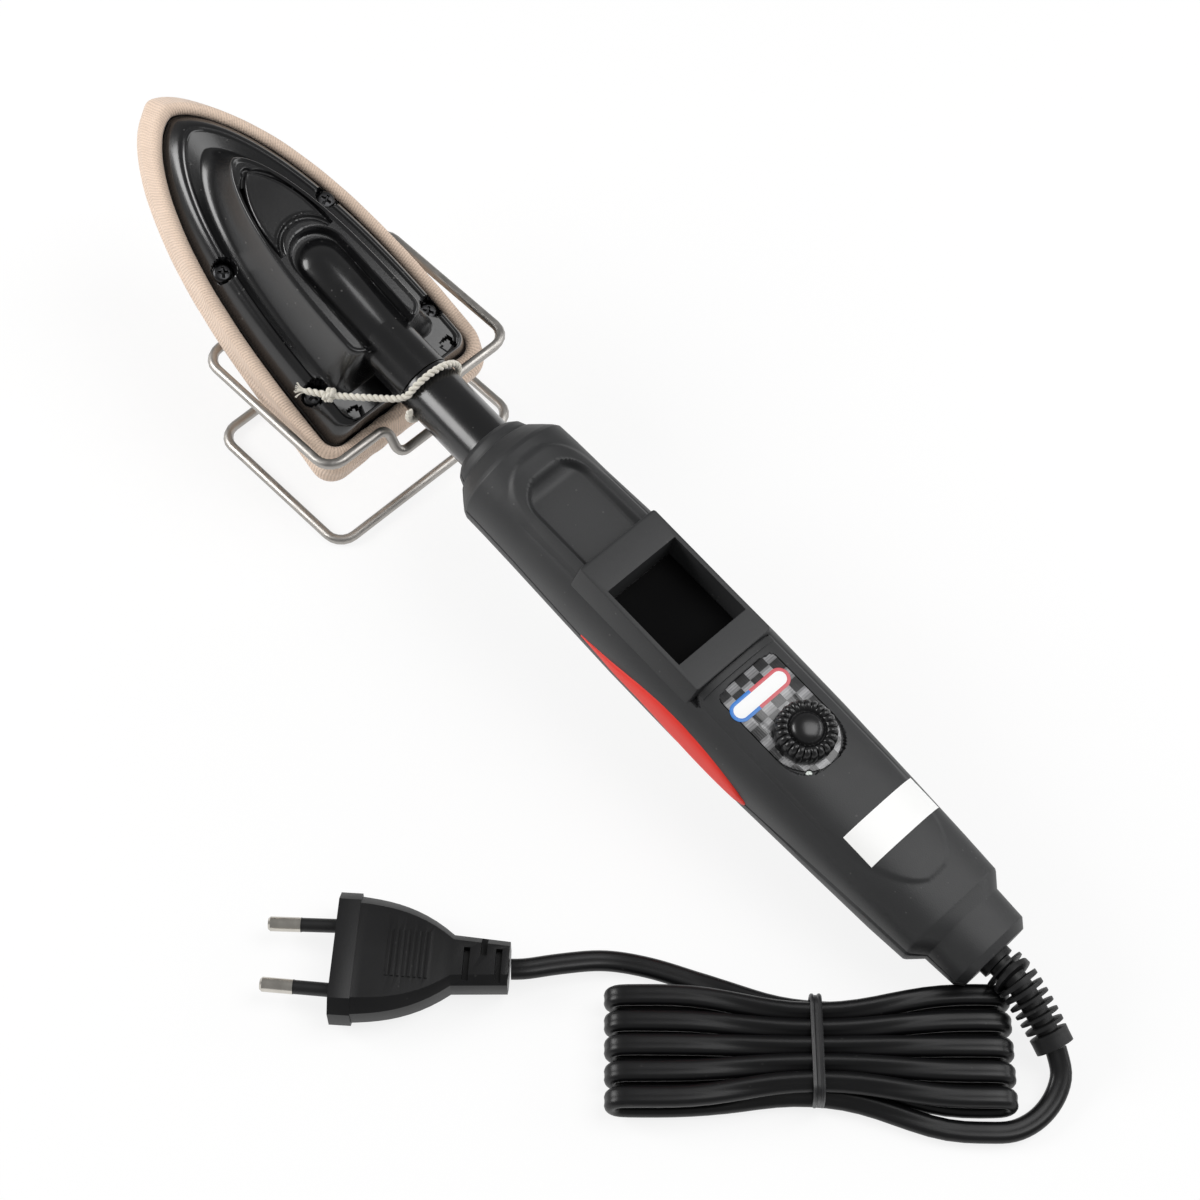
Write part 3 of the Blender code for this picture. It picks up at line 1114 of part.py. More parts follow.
def stand_places():
    """The wire's rear and front places and upper height, from the sole that rests on it."""
    pitch = HANDLE_PITCH + HEAD_PITCH
    turn = Matrix.Rotation(pitch, 4, "Y")
    bend = HANDLE.matrix_world @ Vector((-NECK_BEND, 0, 0)) - RIG.matrix_world.translation
    rim = SOLE_TOP + COVER_RIM_RISE
    grow = GAP + COVER_WALL
    heel = [bend + turn @ Vector((-SOLE_REAR + grow, 0, z)) for z in (SOLE_TOP, rim)]
    heel.append(bend + turn @ Vector((-SKIRT_RIM[1] + GAP + 1.5 * COVER_ROLL, 0, rim)))
    rear = max(p.x for p in heel) + WIRE_RADIUS + STAND_CLEARANCE
    front = rear - STAND_LENGTH
    normal = turn @ Vector((0, 0, 1.0))
    under = bend + turn @ Vector((0, 0, SOLE_BOTTOM - GAP - COVER_WALL))
    height = under.z - (front - under.x) * normal.x / normal.z - (WIRE_RADIUS + GAP) / normal.z
    return rear, front, height


def build_stand():
    """One wire: the lower frame, two risers in the middle of its front, and the upper frame with a
    saddle bent down in its rear side for the neck."""
    rear, front, top = stand_places()
    half = 0.5 * STAND_WIDTH
    low = WIRE_RADIUS
    jog = 0.5 * JOG_WIDTH
    corners = [
        (front, STAND_RISER, low), (front, half, low), (rear, half, low), (rear, -half, low),
        (front, -half, low), (front, -STAND_RISER, low),
        (front, -STAND_RISER, top), (front, -half, top), (rear, -half, top),
        (rear, -jog, top), (rear + JOG_REACH, -jog, top - JOG_DROP), (rear + JOG_REACH, jog, top - JOG_DROP),
        (rear, jog, top), (rear, half, top), (front, half, top), (front, STAND_RISER, top)]
    bends = [STAND_CORNER] * len(corners)
    for i in (0, 5, 6, 15):
        bends[i] = 0.5 * STAND_CORNER
    for i in (9, 10, 11, 12):
        bends[i] = JOG_CORNER
    path = filleted(corners, bends, WIRE_ARC_STEPS)
    look = material("bright_wire", (0.72, 0.71, 0.69), 0.22, 1.0)
    tube("wire_stand", path, WIRE_RADIUS, look, RIG, 2, True)


# Cord, hank and plug

def boot_axis_height():
    """The cord's exit, midway between the crown and the keel of the handle's rear end."""
    crown, keel = handle_station(HANDLE_END)[2:4]
    return 0.5 * (crown + keel)


def build_boot():
    """The moulded boot: a plain tail held in the handle's end wall, then ribs down to the cord."""
    look = material("boot_rubber", (0.016, 0.016, 0.017), 0.5)
    to_table = TABLE.matrix_world.inverted() @ HANDLE.matrix_world
    height = boot_axis_height()
    inside = to_table @ Vector((CAVITY_REAR + GAP, 0, height))
    mouth = to_table @ Vector((HANDLE_END + GAP, 0, height))
    axis = (mouth - inside).normalized()
    free = [mouth, mouth + axis * 0.5 * BOOT_RADIUS] + [Vector(p) for p in BOOT_ROUTE]
    free = smooth_route(free, 0.5 * CORD_RADIUS, True)
    total = path_length(free)
    ribs = BOOT_RIBS
    pitch = (total - BOOT_FLANGE) / ribs
    rise = 0.04 * pitch
    stations = [(0.0, BOOT_TAIL), (2.0 * GAP, BOOT_TAIL), (2.0 * GAP + rise, BOOT_RADIUS)]
    for i in range(ribs):
        start = i * pitch
        if i:
            stations.append((start, BOOT_CORE))
            stations.append((start + rise, BOOT_RADIUS * (1.0 - 0.1 * i / ribs)))
        stations.append((start + BOOT_RIB_SHARE * pitch, BOOT_RADIUS * (1.0 - 0.1 * i / ribs)))
        stations.append((start + BOOT_RIB_SHARE * pitch + rise, BOOT_CORE))
    stations.append((total - BOOT_FLANGE, BOOT_CORE))
    stations.append((total - BOOT_FLANGE + rise, 0.92 * BOOT_RADIUS))
    stations.append((total, 0.92 * BOOT_RADIUS))
    data = np.array([tuple(p) for p in free])
    along = np.concatenate(([0.0], np.cumsum(np.linalg.norm(np.diff(data, axis=0), axis=1))))
    points, radii = [inside, mouth - axis * GAP], [BOOT_TAIL, BOOT_TAIL]
    for mark, radius in stations[1:]:
        points.append(Vector([float(np.interp(mark, along, data[:, k])) for k in range(3)]))
        radii.append(radius)
    tube("strain_relief_boot", points, BOOT_RADIUS, look, TABLE, 2, False, radii)
    direction = (points[-1] - points[-2]).normalized()
    return points[-1], direction


def hank_axis():
    """The hank's axis: upright loops side by side from the front to the rear. Each loop steps back
    along its lower run; all are drawn in, across and in height, at the waist."""
    half_turn = 4
    run = 8
    left, right = HANK_LEFT, HANK_LEFT + HANK_LENGTH
    bend = 0.5 * HANK_RISE
    waist = TIE_PLACE
    mid_row = 0.5 * (HANK_LOOPS - 1)
    centre = -HANK_FRONT + HANK_PITCH * mid_row
    points = []

    def put(x, row, level):
        near = min(1.0, max(0.0, 1.1 - abs(x - waist) / HANK_WAIST))
        draw = near * near * (3.0 - 2.0 * near)
        pitch = HANK_PITCH + (HANK_WAIST_PITCH - HANK_PITCH) * draw
        rise = HANK_RISE + (HANK_WAIST_RISE - HANK_RISE) * draw
        points.append(Vector((x, centre + (row - mid_row) * pitch, HANK_MIDDLE + level * 0.5 * rise)))

    for turn in range(HANK_LOOPS):
        for i in range(0 if turn else 1, run):
            # Lower run, to the left; the step to the next row is taken here
            t = i / run
            row = turn - 1.0 + max(0.0, min(1.0, 1.5 * t - 0.2))
            put(right - bend - (right - left - 2.0 * bend) * t, row, -1.0)
        for i in range(half_turn):
            angle = math.pi * (1.5 - i / half_turn)
            put(left + bend + bend * math.cos(angle), turn, math.sin(angle))
        for i in range(run):
            put(left + bend + (right - left - 2.0 * bend) * i / run, turn, 1.0)
        for i in range(half_turn):
            angle = math.pi * (0.5 - i / half_turn)
            put(right - bend + bend * math.cos(angle), turn, math.sin(angle))
    for i in range(run + 1):
        x = right - bend - (right - bend - HANK_TAIL) * i / run
        t = (right - bend - x) / (right - left - 2.0 * bend)
        put(x, HANK_LOOPS - 1 + max(0.0, min(1.0, 1.5 * t - 0.2)), -1.0)
    return points


def build_cord():
    look = material("mains_cord", (0.018, 0.018, 0.019), 0.45)
    boot_end, direction = build_boot()
    hank = hank_axis()
    first, second = hank[0], hank[1]
    run_in = (first - second).normalized()
    tube("cord_hank", hank, CORD_RADIUS, look, TABLE, 1)
    print("hank: least gap to itself %.2f mm" % (least_gap(hank, CORD_RADIUS) / MM))
    total = path_length(hank)

    # Free stretch from the boot to the hank, square to both
    start = boot_end + direction * GAP
    lead = [start, start + direction * 2.0 * CORD_RADIUS] + [Vector(p) for p in LEAD_ROUTE]
    lead += [first + run_in * (GAP + 3.0 * CORD_RADIUS), first + run_in * GAP]
    lead = smooth_route(lead, TUBE_STEP_SHARE * 2.0 * CORD_RADIUS, True)
    tube("cord_lead", lead, CORD_RADIUS, look, TABLE, 2)

    # Free stretch from the hank to the plug
    last = (hank[-1] - hank[-2]).normalized()
    plug_turn = Matrix.Rotation(PLUG_TURN, 4, "Z")
    away = plug_turn @ Vector((1.0, 0, 0))
    plug_end = Vector((PLUG_X, PLUG_Y, 0.5 * PLUG_HEIGHT)) + away * (PLUG_BODY + PLUG_RELIEF + GAP)
    tail = [hank[-1] + last * GAP, hank[-1] + last * 3.0 * CORD_RADIUS] + [Vector(p) for p in TAIL_ROUTE]
    tail += [plug_end + away * 2.0 * CORD_RADIUS, plug_end]
    tail = smooth_route(tail, TUBE_STEP_SHARE * 2.0 * CORD_RADIUS, True)
    tube("cord_tail", tail, CORD_RADIUS, look, TABLE, 2)
    total += path_length(lead) + path_length(tail)
    print("cord: boot to plug %.0f mm" % (total / MM))

    # Tie round the waist
    rows = 0.5 * HANK_LOOPS * HANK_WAIST_PITCH + CORD_RADIUS + TIE_SLACK
    tall = 0.5 * HANK_WAIST_RISE + CORD_RADIUS + TIE_SLACK
    bend = CORD_RADIUS + TIE_SLACK
    outer = rounded_outline(-tall - TIE_THICK, tall + TIE_THICK, rows + TIE_THICK, bend + TIE_THICK, 4)
    inner = rounded_outline(-tall, tall, rows, bend, 4)
    centre = (TIE_PLACE, -HANK_FRONT + 0.5 * (HANK_LOOPS - 1) * HANK_PITCH, HANK_MIDDLE)
    upright = (0, -0.5 * math.pi, 0)
    strap = material("tie_strap", (0.02, 0.02, 0.02), 0.5)
    tie = slab("cord_tie", outer, -0.5 * TIE_WIDTH, 0.5 * TIE_WIDTH, strap, TABLE, centre, upright)
    boolean(tie, slab("tie_bore", inner, -TIE_WIDTH, TIE_WIDTH, None, TABLE, centre, upright))


def build_plug():
    """A flat two-pin plug: face plate, shield-shaped body, grip ridges and a slotted relief."""
    look = material("plug_plastic", (0.020, 0.020, 0.021), 0.42)
    frame = empty("plug_frame", TABLE, (PLUG_X, PLUG_Y, 0.5 * PLUG_HEIGHT), (0, 0, PLUG_TURN))
    half, neck = 0.5 * PLUG_BODY_WIDTH, 0.5 * PLUG_NECK_WIDTH
    outline = []
    for i in range(11):
        t = i / 10
        x = PLUG_PLATE + (PLUG_BODY - PLUG_PLATE) * t
        outline.append((x, half - (half - neck) * (0.25 * t + 0.75 * t ** 2.6)))
    side = outline + [(PLUG_BODY + PLUG_RELIEF, 0.86 * neck)]
    rings = []
    for x, y in side:
        share = (x - PLUG_PLATE) / (PLUG_BODY - PLUG_PLATE)
        tall = 0.5 * (PLUG_BODY_HEIGHT + (PLUG_RELIEF_HEIGHT - PLUG_BODY_HEIGHT) * min(1.0, share))
        cut = PLUG_CHAMFER * (1.0 - 0.35 * min(1.0, share))
        rings.append([Vector((x, py, pz)) for py, pz in (
            (y, tall - cut), (y - cut, tall), (cut - y, tall), (-y, tall - cut),
            (-y, cut - tall), (cut - y, -tall), (y - cut, -tall), (y, cut - tall))])
    plug = loft("plug_body", rings, look, frame)
    plate_half, plate_tall, cut = 0.5 * PLUG_WIDTH, 0.5 * PLUG_HEIGHT, PLUG_CHAMFER
    corners = [(plate_half, plate_tall - cut), (plate_half - cut, plate_tall)]
    corners += [(-py, pz) for py, pz in reversed(corners)]
    corners += [(py, -pz) for py, pz in reversed(corners)]
    plate_rings = [[Vector((x, py, pz)) for py, pz in corners] for x in (0.0, PLUG_PLATE + GAP)]
    plate = loft("plug_plate", plate_rings, None, frame)
    boolean(plug, plate, "UNION")
    pitch = PLUG_GRIP_LENGTH / PLUG_GRIPS
    for sign in (-1.0, 1.0):
        bm = bmesh.new()
        for i in range(PLUG_GRIPS):
            x = PLUG_GRIP_START + pitch * i
            share = (x - PLUG_PLATE) / (PLUG_BODY - PLUG_PLATE)
            tall = 0.5 * (PLUG_BODY_HEIGHT + (PLUG_RELIEF_HEIGHT - PLUG_BODY_HEIGHT) * share)
            verts = bmesh.ops.create_cube(bm, size=1.0)["verts"]
            bmesh.ops.scale(bm, vec=(0.5 * pitch, PLUG_GRIP_WIDTH, 2.0 * PLUG_GRIP_RISE), verts=verts)
            bmesh.ops.translate(bm, vec=(x, 0, sign * tall), verts=verts)
        name = "grip_ridges_%s" % ("top" if sign > 0.0 else "under")
        boolean(plug, add(name, bmesh_data(name, bm, False), None, frame), "UNION")
    for i, share in enumerate(RELIEF_SLOT_SHARES):
        side_y = neck * (0.75 if i == 1 else -0.2)
        for sign in (-1.0, 1.0):
            slot = box("relief_slot_%d_%s" % (i + 1, "top" if sign > 0.0 else "under"),
                       (RELIEF_SLOT, RELIEF_SLOT_WIDTH, 2.0 * RELIEF_SLOT_DEPTH), None, frame,
                       (PLUG_BODY + share * PLUG_RELIEF, side_y, sign * 0.5 * PLUG_RELIEF_HEIGHT))
            boolean(plug, slot)
    lean = math.atan2(0.5 * (PIN_ROOT - PIN_TIPS), PIN_LENGTH)
    metal = material("nickel_pin", (0.70, 0.66, 0.58), 0.25, 1.0)
    for i, sign in enumerate((1.0, -1.0)):
        turned("plug_pin_%d" % (i + 1), [
            (0, PIN_LENGTH), (0.75 * PIN_RADIUS, PIN_LENGTH), (PIN_RADIUS, PIN_LENGTH - 0.3 * PIN_RADIUS),
            (PIN_RADIUS, PIN_SLEEVE), (PIN_SLEEVE_RADIUS, PIN_SLEEVE), (PIN_SLEEVE_RADIUS, GAP), (0, GAP)],
            metal, frame, (0, sign * 0.5 * PIN_ROOT, 0), (0, -0.5 * math.pi, sign * lean), 20)


# Assembly

def evaluated_bounds(names_left_out):
    depsgraph = bpy.context.evaluated_depsgraph_get()
    low, high = np.full(3, np.inf), np.full(3, -np.inf)
    for obj in PARTS.objects:
        if obj.type == "EMPTY" or obj.name in names_left_out:
            continue
        final = obj.evaluated_get(depsgraph)
        mesh = final.to_mesh()
        data = np.empty(3 * len(mesh.vertices))
        mesh.vertices.foreach_get("co", data)
        matrix = np.array(obj.matrix_world)
        world = data.reshape(-1, 3) @ matrix[:3, :3].T + matrix[:3, 3]
        low, high = np.minimum(low, world.min(axis=0)), np.maximum(high, world.max(axis=0))
        final.to_mesh_clear()
    return low, high


CORD_PIECES = ("cord_lead", "cord_hank", "cord_tie", "cord_tail", "plug_body", "plug_pin_1", "plug_pin_2",
               "strain_relief_boot")

clear_scene()
PARTS = make_collection("sealing_iron")
CUTTERS = make_collection("cutters")
RIG = empty("rig")
foot_place = REAR_FOOT_SHARE * HANDLE_LENGTH - HANDLE_NOSE
foot = handle_station(foot_place)
axis_height = foot_place * math.sin(HANDLE_PITCH) - foot[3] * math.cos(HANDLE_PITCH)
HANDLE = empty("handle_frame", RIG, (0, 0, axis_height), (0, HANDLE_PITCH, 0))
HEAD = empty("head_frame", HANDLE, (-NECK_BEND, 0, 0), (0, HEAD_PITCH, 0))
TABLE = empty("table_frame", RIG, (TABLE_X, TABLE_Y, 0), (0, 0, TABLE_TURN))
bpy.context.view_layer.update()

build_head()
build_handle()
build_stand()
build_cord()
build_plug()
bpy.context.view_layer.update()
low_corner, high_corner = evaluated_bounds(CORD_PIECES)
centre = 0.5 * (low_corner + high_corner)
RIG.location = (-centre[0], -centre[1], -low_corner[2])
bpy.context.view_layer.update()
print("size %.1f x %.1f x %.1f mm" % tuple((high_corner - low_corner) / MM))
print("rig at %.3f %.3f %.3f mm" % tuple(c / MM for c in RIG.location))
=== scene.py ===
import math

import bmesh
import bpy
import numpy as np
from bpy.props import FloatProperty, FloatVectorProperty, IntProperty, PointerProperty
from bpy.types import Operator, Panel, PropertyGroup
from mathutils import Matrix, Vector, noise


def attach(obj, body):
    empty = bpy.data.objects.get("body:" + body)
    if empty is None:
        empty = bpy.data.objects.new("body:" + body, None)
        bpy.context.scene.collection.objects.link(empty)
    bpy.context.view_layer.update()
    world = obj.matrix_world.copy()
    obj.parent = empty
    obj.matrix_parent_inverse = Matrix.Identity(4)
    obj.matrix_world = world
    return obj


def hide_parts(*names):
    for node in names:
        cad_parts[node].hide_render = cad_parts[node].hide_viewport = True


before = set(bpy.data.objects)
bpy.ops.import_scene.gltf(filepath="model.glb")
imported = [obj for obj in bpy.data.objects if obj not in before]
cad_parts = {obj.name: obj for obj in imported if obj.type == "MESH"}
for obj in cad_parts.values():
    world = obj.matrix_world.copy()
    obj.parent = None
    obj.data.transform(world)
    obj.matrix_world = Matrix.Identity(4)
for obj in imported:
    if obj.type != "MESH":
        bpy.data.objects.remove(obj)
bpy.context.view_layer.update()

bl_info = {
    "name": "Sealing Iron",
    "version": (1, 0, 0),
    "blender": (4, 5, 0),
    "location": "3D View > Sidebar > Sealing Iron",
    "description": "Dresses the sealing iron: cloth cover, cord, wire stand, handle and controls",
    "category": "Object",
}

MM = 0.001

# Frames that the pieces are drawn in, each placed in the model's own frame
HANDLE = (Matrix.Translation((0.021951495, 0.0, 0.038810715))
          @ Matrix.Rotation(math.radians(10.9), 4, "Y"))
HEAD = (Matrix.Translation((-0.049731486, 0.0, 0.052614681))
        @ Matrix.Rotation(math.radians(23.75), 4, "Y"))
TABLE = (Matrix.Translation((0.010401495, 0.0086, 0.0))
         @ Matrix.Rotation(math.radians(46.24), 4, "Z"))
PLUG = (TABLE @ Matrix.Translation((-0.0705, -0.116, 0.00685))
        @ Matrix.Rotation(math.radians(-3.7), 4, "Z"))


# Mesh building

def mesh_piece(name, points, faces, look, body, place=None, smooth=35.0):
    """A mesh object from points in metres, shaded smooth up to an angle in degrees, on its body."""
    mesh = bpy.data.meshes.new(name)
    mesh.from_pydata([tuple(p) for p in points], [], faces)
    if place is not None:
        mesh.transform(place)
    mesh.update()
    if smooth:
        mesh.polygons.foreach_set("use_smooth", [True] * len(mesh.polygons))
        mesh.set_sharp_from_angle(angle=math.radians(smooth))
    obj = bpy.data.objects.new(name, mesh)
    bpy.context.scene.collection.objects.link(obj)
    if look is not None:
        mesh.materials.append(look)
    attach(obj, body)
    return obj


def bridged(rings, caps=(True, True), cyclic=False):
    """Points and faces of rings that are joined one after the other."""
    count = len(rings[0])
    points = [p for ring in rings for p in ring]
    faces = []
    spans = len(rings) if cyclic else len(rings) - 1
    for i in range(spans):
        low, high = i * count, (i + 1) % len(rings) * count
        for j in range(count):
            k = (j + 1) % count
            faces.append((low + j, low + k, high + k, high + j))
    if not cyclic and caps[0]:
        faces.append(tuple(reversed(range(count))))
    if not cyclic and caps[1]:
        faces.append(tuple(range(len(points) - count, len(points))))
    return points, faces


def lay_lengths(obj, rings):
    """UVs in metres for rings that were bridged: u along each ring, v from ring to ring."""
    count = len(rings[0])
    layer = obj.data.uv_layers.new(name="lengths")
    middle = rings[len(rings) // 2]
    along = [0.0]
    for j in range(count):
        along.append(along[-1] + (Vector(middle[(j + 1) % count]) - Vector(middle[j])).length)
    across = [0.0]
    for low, high in zip(rings, rings[1:]):
        across.append(across[-1] + (Vector(high[count // 4]) - Vector(low[count // 4])).length)
    for face in obj.data.polygons:
        i, j = divmod(face.index, count)
        if i >= len(rings) - 1 or len(face.loop_indices) != 4:
            continue
        corners = ((j, i), (j + 1, i), (j + 1, i + 1), (j, i + 1))
        for loop, (a, b) in zip(face.loop_indices, corners):
            layer.data[loop].uv = (across[b], along[a])


def path_length(points):
    """The summed length of a path's runs."""
    return sum((Vector(b) - Vector(a)).length for a, b in zip(points, points[1:]))


def evenly(points, count):
    """The same path as count equal runs."""
    data = np.array([tuple(p) for p in points])
    along = np.concatenate(([0.0], np.cumsum(np.linalg.norm(np.diff(data, axis=0), axis=1))))
    marks = np.linspace(0.0, along[-1], count + 1)
    return [Vector([float(np.interp(m, along, data[:, k])) for k in range(3)]) for m in marks]


def smooth_path(knots, step):
    """Points about one step apart on a smooth curve through the knots."""
    knots = [Vector(p) for p in knots]
    ends = [2.0 * knots[0] - knots[1]] + knots + [2.0 * knots[-1] - knots[-2]]
    fine = []
    for a, b, c, d in zip(ends, ends[1:], ends[2:], ends[3:]):
        for i in range(16):
            t = i / 16
            fine.append(0.5 * ((2.0 * b) + (c - a) * t + (2.0 * a - 5.0 * b + 4.0 * c - d) * t * t
                               + (3.0 * b - a - 3.0 * c + d) * t * t * t))
    fine.append(knots[-1])
    return evenly(fine, max(2, round(path_length(fine) / step)))


def tangents(path):
    """The direction of an open path at each of its points."""
    before = [path[0]] + list(path[:-1])
    after = list(path[1:]) + [path[-1]]
    return [(Vector(b) - Vector(a)).normalized() for a, b in zip(before, after)]


def carried_frames(path, start_side):
    """Side and lift directions carried along a path with as little turning as possible."""
    along = tangents(path)
    side = (start_side - along[0] * start_side.dot(along[0])).normalized()
    frames = []
    for t in along:
        side = (side - t * side.dot(t)).normalized()
        frames.append((side, t.cross(side)))
    return frames


def shoe_outline(tip, rear, half, corner=4.5 * MM, steps=60):
    """The shoe's plan: pointed and full at the front, nearly straight behind, round rear corners."""
    corner_steps, rear_steps = 8, 14
    length = tip - rear
    reach = length - corner
    side = []
    for i in range(steps + 1):
        run = (i / steps) ** 1.5
        left = 1.0 - run * reach / length
        side.append((-tip + run * reach, half * (1.0 - left ** 2.7) ** (1.0 / 1.65)))
    x, y = side[-1]
    for i in range(1, corner_steps + 1):
        angle = 0.5 * math.pi * i / corner_steps
        side.append((x + corner * math.sin(angle), y - corner * (1.0 - math.cos(angle))))
    x, y = side[-1]
    side += [(x, y * (1.0 - i / rear_steps)) for i in range(1, rear_steps)]
    return side + [(side[-1][0], 0.0)] + [(px, -py) for px, py in reversed(side[1:])]


# Shader building

DUST_COLOUR = (0.55, 0.54, 0.52, 1.0)


def shader_group(name, inputs, outputs):
    """An empty shader node group with named sockets, and its in and out nodes."""
    group = bpy.data.node_groups.new(name, "ShaderNodeTree")
    for label, kind, default in inputs:
        socket = group.interface.new_socket(name=label, in_out="INPUT", socket_type=kind)
        if default is not None:
            socket.default_value = default
    for label, kind in outputs:
        group.interface.new_socket(name=label, in_out="OUTPUT", socket_type=kind)
    entry = group.nodes.new("NodeGroupInput")
    leave = group.nodes.new("NodeGroupOutput")
    return group, entry, leave


def node(tree, kind, links=(), **values):
    """A node with its settings and, by socket name or number, its values and incoming links."""
    made = tree.nodes.new(kind)
    for key, value in values.items():
        setattr(made, key, value)
    for key, value in links:
        if hasattr(value, "is_output"):
            tree.links.new(value, made.inputs[key])
        else:
            made.inputs[key].default_value = value
    return made


def maths(tree, operation, *values):
    """A maths node on numbers or sockets, and its result."""
    return node(tree, "ShaderNodeMath", list(enumerate(values)), operation=operation).outputs[0]


def clouds(tree, where, scale, detail, rough=0.5):
    """A noise texture, with its scale per metre."""
    return node(tree, "ShaderNodeTexNoise", [("Vector", where), ("Scale", scale), ("Detail", detail),
                                             ("Roughness", rough)])


def map_range(tree, value, low, high, first=0.0, last=1.0):
    """A value between low and high, brought to between first and last."""
    return node(tree, "ShaderNodeMapRange", [
        (0, value), (1, low), (2, high), (3, first), (4, last)]).outputs[0]


def mix_colours(tree, share, low, high, blend="MIX"):
    return node(tree, "ShaderNodeMix", [("Factor", share), (6, low), (7, high)], data_type="RGBA",
                blend_type=blend).outputs[2]


def ramp(tree, source, stops):
    """A colour or a grey for each place between 0 and 1."""
    made = node(tree, "ShaderNodeValToRGB", [("Fac", source)])
    elements = made.color_ramp.elements
    while len(elements) < len(stops):
        elements.new(1.0)
    for element, (place, value) in zip(elements, stops):
        element.position = place
        element.color = (value, value, value, 1.0) if isinstance(value, float) else tuple(value) + (1.0,)
    return made.outputs["Color"]


def link_results(group, leave, *results):
    for result, socket in zip(results, leave.inputs):
        group.links.new(result, socket)


def grain_group():
    """Fine moulded grain with slow patches of tone, from plain coordinates."""
    group, entry, leave = shader_group("Moulded grain", [
        ("Coordinates", "NodeSocketVector", None), ("Grain per metre", "NodeSocketFloat", 2600.0),
        ("Patches per metre", "NodeSocketFloat", 45.0)],
        [("Height", "NodeSocketFloat"), ("Tone", "NodeSocketFloat")])
    where, grain, patches = entry.outputs[:3]
    fine = clouds(group, where, grain, 3.0, 0.6)
    slow = clouds(group, where, patches, 4.0, 0.55)
    link_results(group, leave, fine.outputs[0], slow.outputs[0])


def speck_group():
    """Sparse dust specks and faint rubbed smears, as a mask."""
    group, entry, leave = shader_group("Dust and rubs", [
        ("Coordinates", "NodeSocketVector", None), ("Specks per metre", "NodeSocketFloat", 520.0),
        ("Speck size", "NodeSocketFloat", 0.16), ("Smears", "NodeSocketFloat", 0.3)],
        [("Mask", "NodeSocketFloat")])
    where, specks, size, smears = entry.outputs[:4]
    cells = node(group, "ShaderNodeTexVoronoi", [("Vector", where), ("Scale", specks)])
    near = maths(group, "LESS_THAN", cells.outputs["Distance"], size)
    pick = node(group, "ShaderNodeSeparateColor", [(0, cells.outputs["Color"])])
    rare = maths(group, "GREATER_THAN", pick.outputs[0], 0.90)
    dots = maths(group, "MULTIPLY", near, rare)
    slow = clouds(group, where, 60.0, 6.0, 0.7)
    smear = maths(group, "MULTIPLY", map_range(group, slow.outputs[0], 0.55, 0.85), smears)
    link_results(group, leave, maths(group, "MAXIMUM", dots, smear))


def streak_group():
    """Fine streaks that run along one axis, as on drawn or turned metal."""
    group, entry, leave = shader_group("Drawn streaks", [
        ("Coordinates", "NodeSocketVector", None), ("Streaks per metre", "NodeSocketFloat", 9000.0)],
        [("Height", "NodeSocketFloat"), ("Tone", "NodeSocketFloat")])
    where, streaks = entry.outputs[:2]
    fine = clouds(group, where, streaks, 2.0)
    slow = clouds(group, where, 260.0, 5.0)
    link_results(group, leave, fine.outputs[0], slow.outputs[0])


def knit_group():
    """Fine ribbed jersey: ribs across one axis, each rib a chain of small loops."""
    group, entry, leave = shader_group("Ribbed jersey", [
        ("Coordinates", "NodeSocketVector", None), ("Ribs per metre", "NodeSocketFloat", 1150.0)],
        [("Height", "NodeSocketFloat"), ("Shade", "NodeSocketFloat")])
    where, ribs = entry.outputs[:2]
    bend = clouds(group, where, 160.0, 3.0)
    sway = 1.4 * MM
    shift = node(group, "ShaderNodeVectorMath", [(0, bend.outputs["Color"]), (1, (sway, sway, sway))],
                 operation="MULTIPLY")
    moved = node(group, "ShaderNodeVectorMath", [(0, where), (1, shift.outputs[0])], operation="ADD")
    parts = node(group, "ShaderNodeSeparateXYZ", [(0, moved.outputs[0])])
    turn = maths(group, "MULTIPLY", ribs, 2.0 * math.pi)
    across = maths(group, "MULTIPLY", parts.outputs[1], turn)
    along = maths(group, "MULTIPLY", parts.outputs[0], turn)
    wave = maths(group, "SINE", across)
    loops = maths(group, "SINE", maths(group, "MULTIPLY_ADD", across, 0.5, along))
    mixed = maths(group, "MULTIPLY_ADD", loops, 0.35, wave)
    fuzz = clouds(group, moved.outputs[0], 5200.0, 2.0)
    height = maths(group, "MULTIPLY_ADD", fuzz.outputs[0], 1.2, mixed)
    link_results(group, leave, map_range(group, height, -1.0, 2.2), bend.outputs[0])


def in_frame(tree, place=None):
    """Coordinates in metres at rest, in one of the frames above."""
    source = node(tree, "ShaderNodeTexCoord").outputs["Object"]
    if place is not None:
        back = place.inverted()
        source = node(tree, "ShaderNodeMapping", [
            ("Vector", source), ("Location", back.translation),
            ("Rotation", back.to_euler("XYZ"))]).outputs[0]
    return source


def use_group(tree, name, *links):
    return node(tree, "ShaderNodeGroup", links, node_tree=bpy.data.node_groups[name])


def blank_look(name):
    """A new material, its node tree and its shader."""
    look = bpy.data.materials.new(name)
    look.use_nodes = True
    return look, look.node_tree, look.node_tree.nodes["Principled BSDF"]


def raise_surface(tree, bsdf, height, depth, strength=1.0):
    """Bump of a depth in metres on a material's shader."""
    made = node(tree, "ShaderNodeBump", [("Strength", strength), ("Distance", depth), ("Height", height)])
    tree.links.new(made.outputs[0], bsdf.inputs["Normal"])


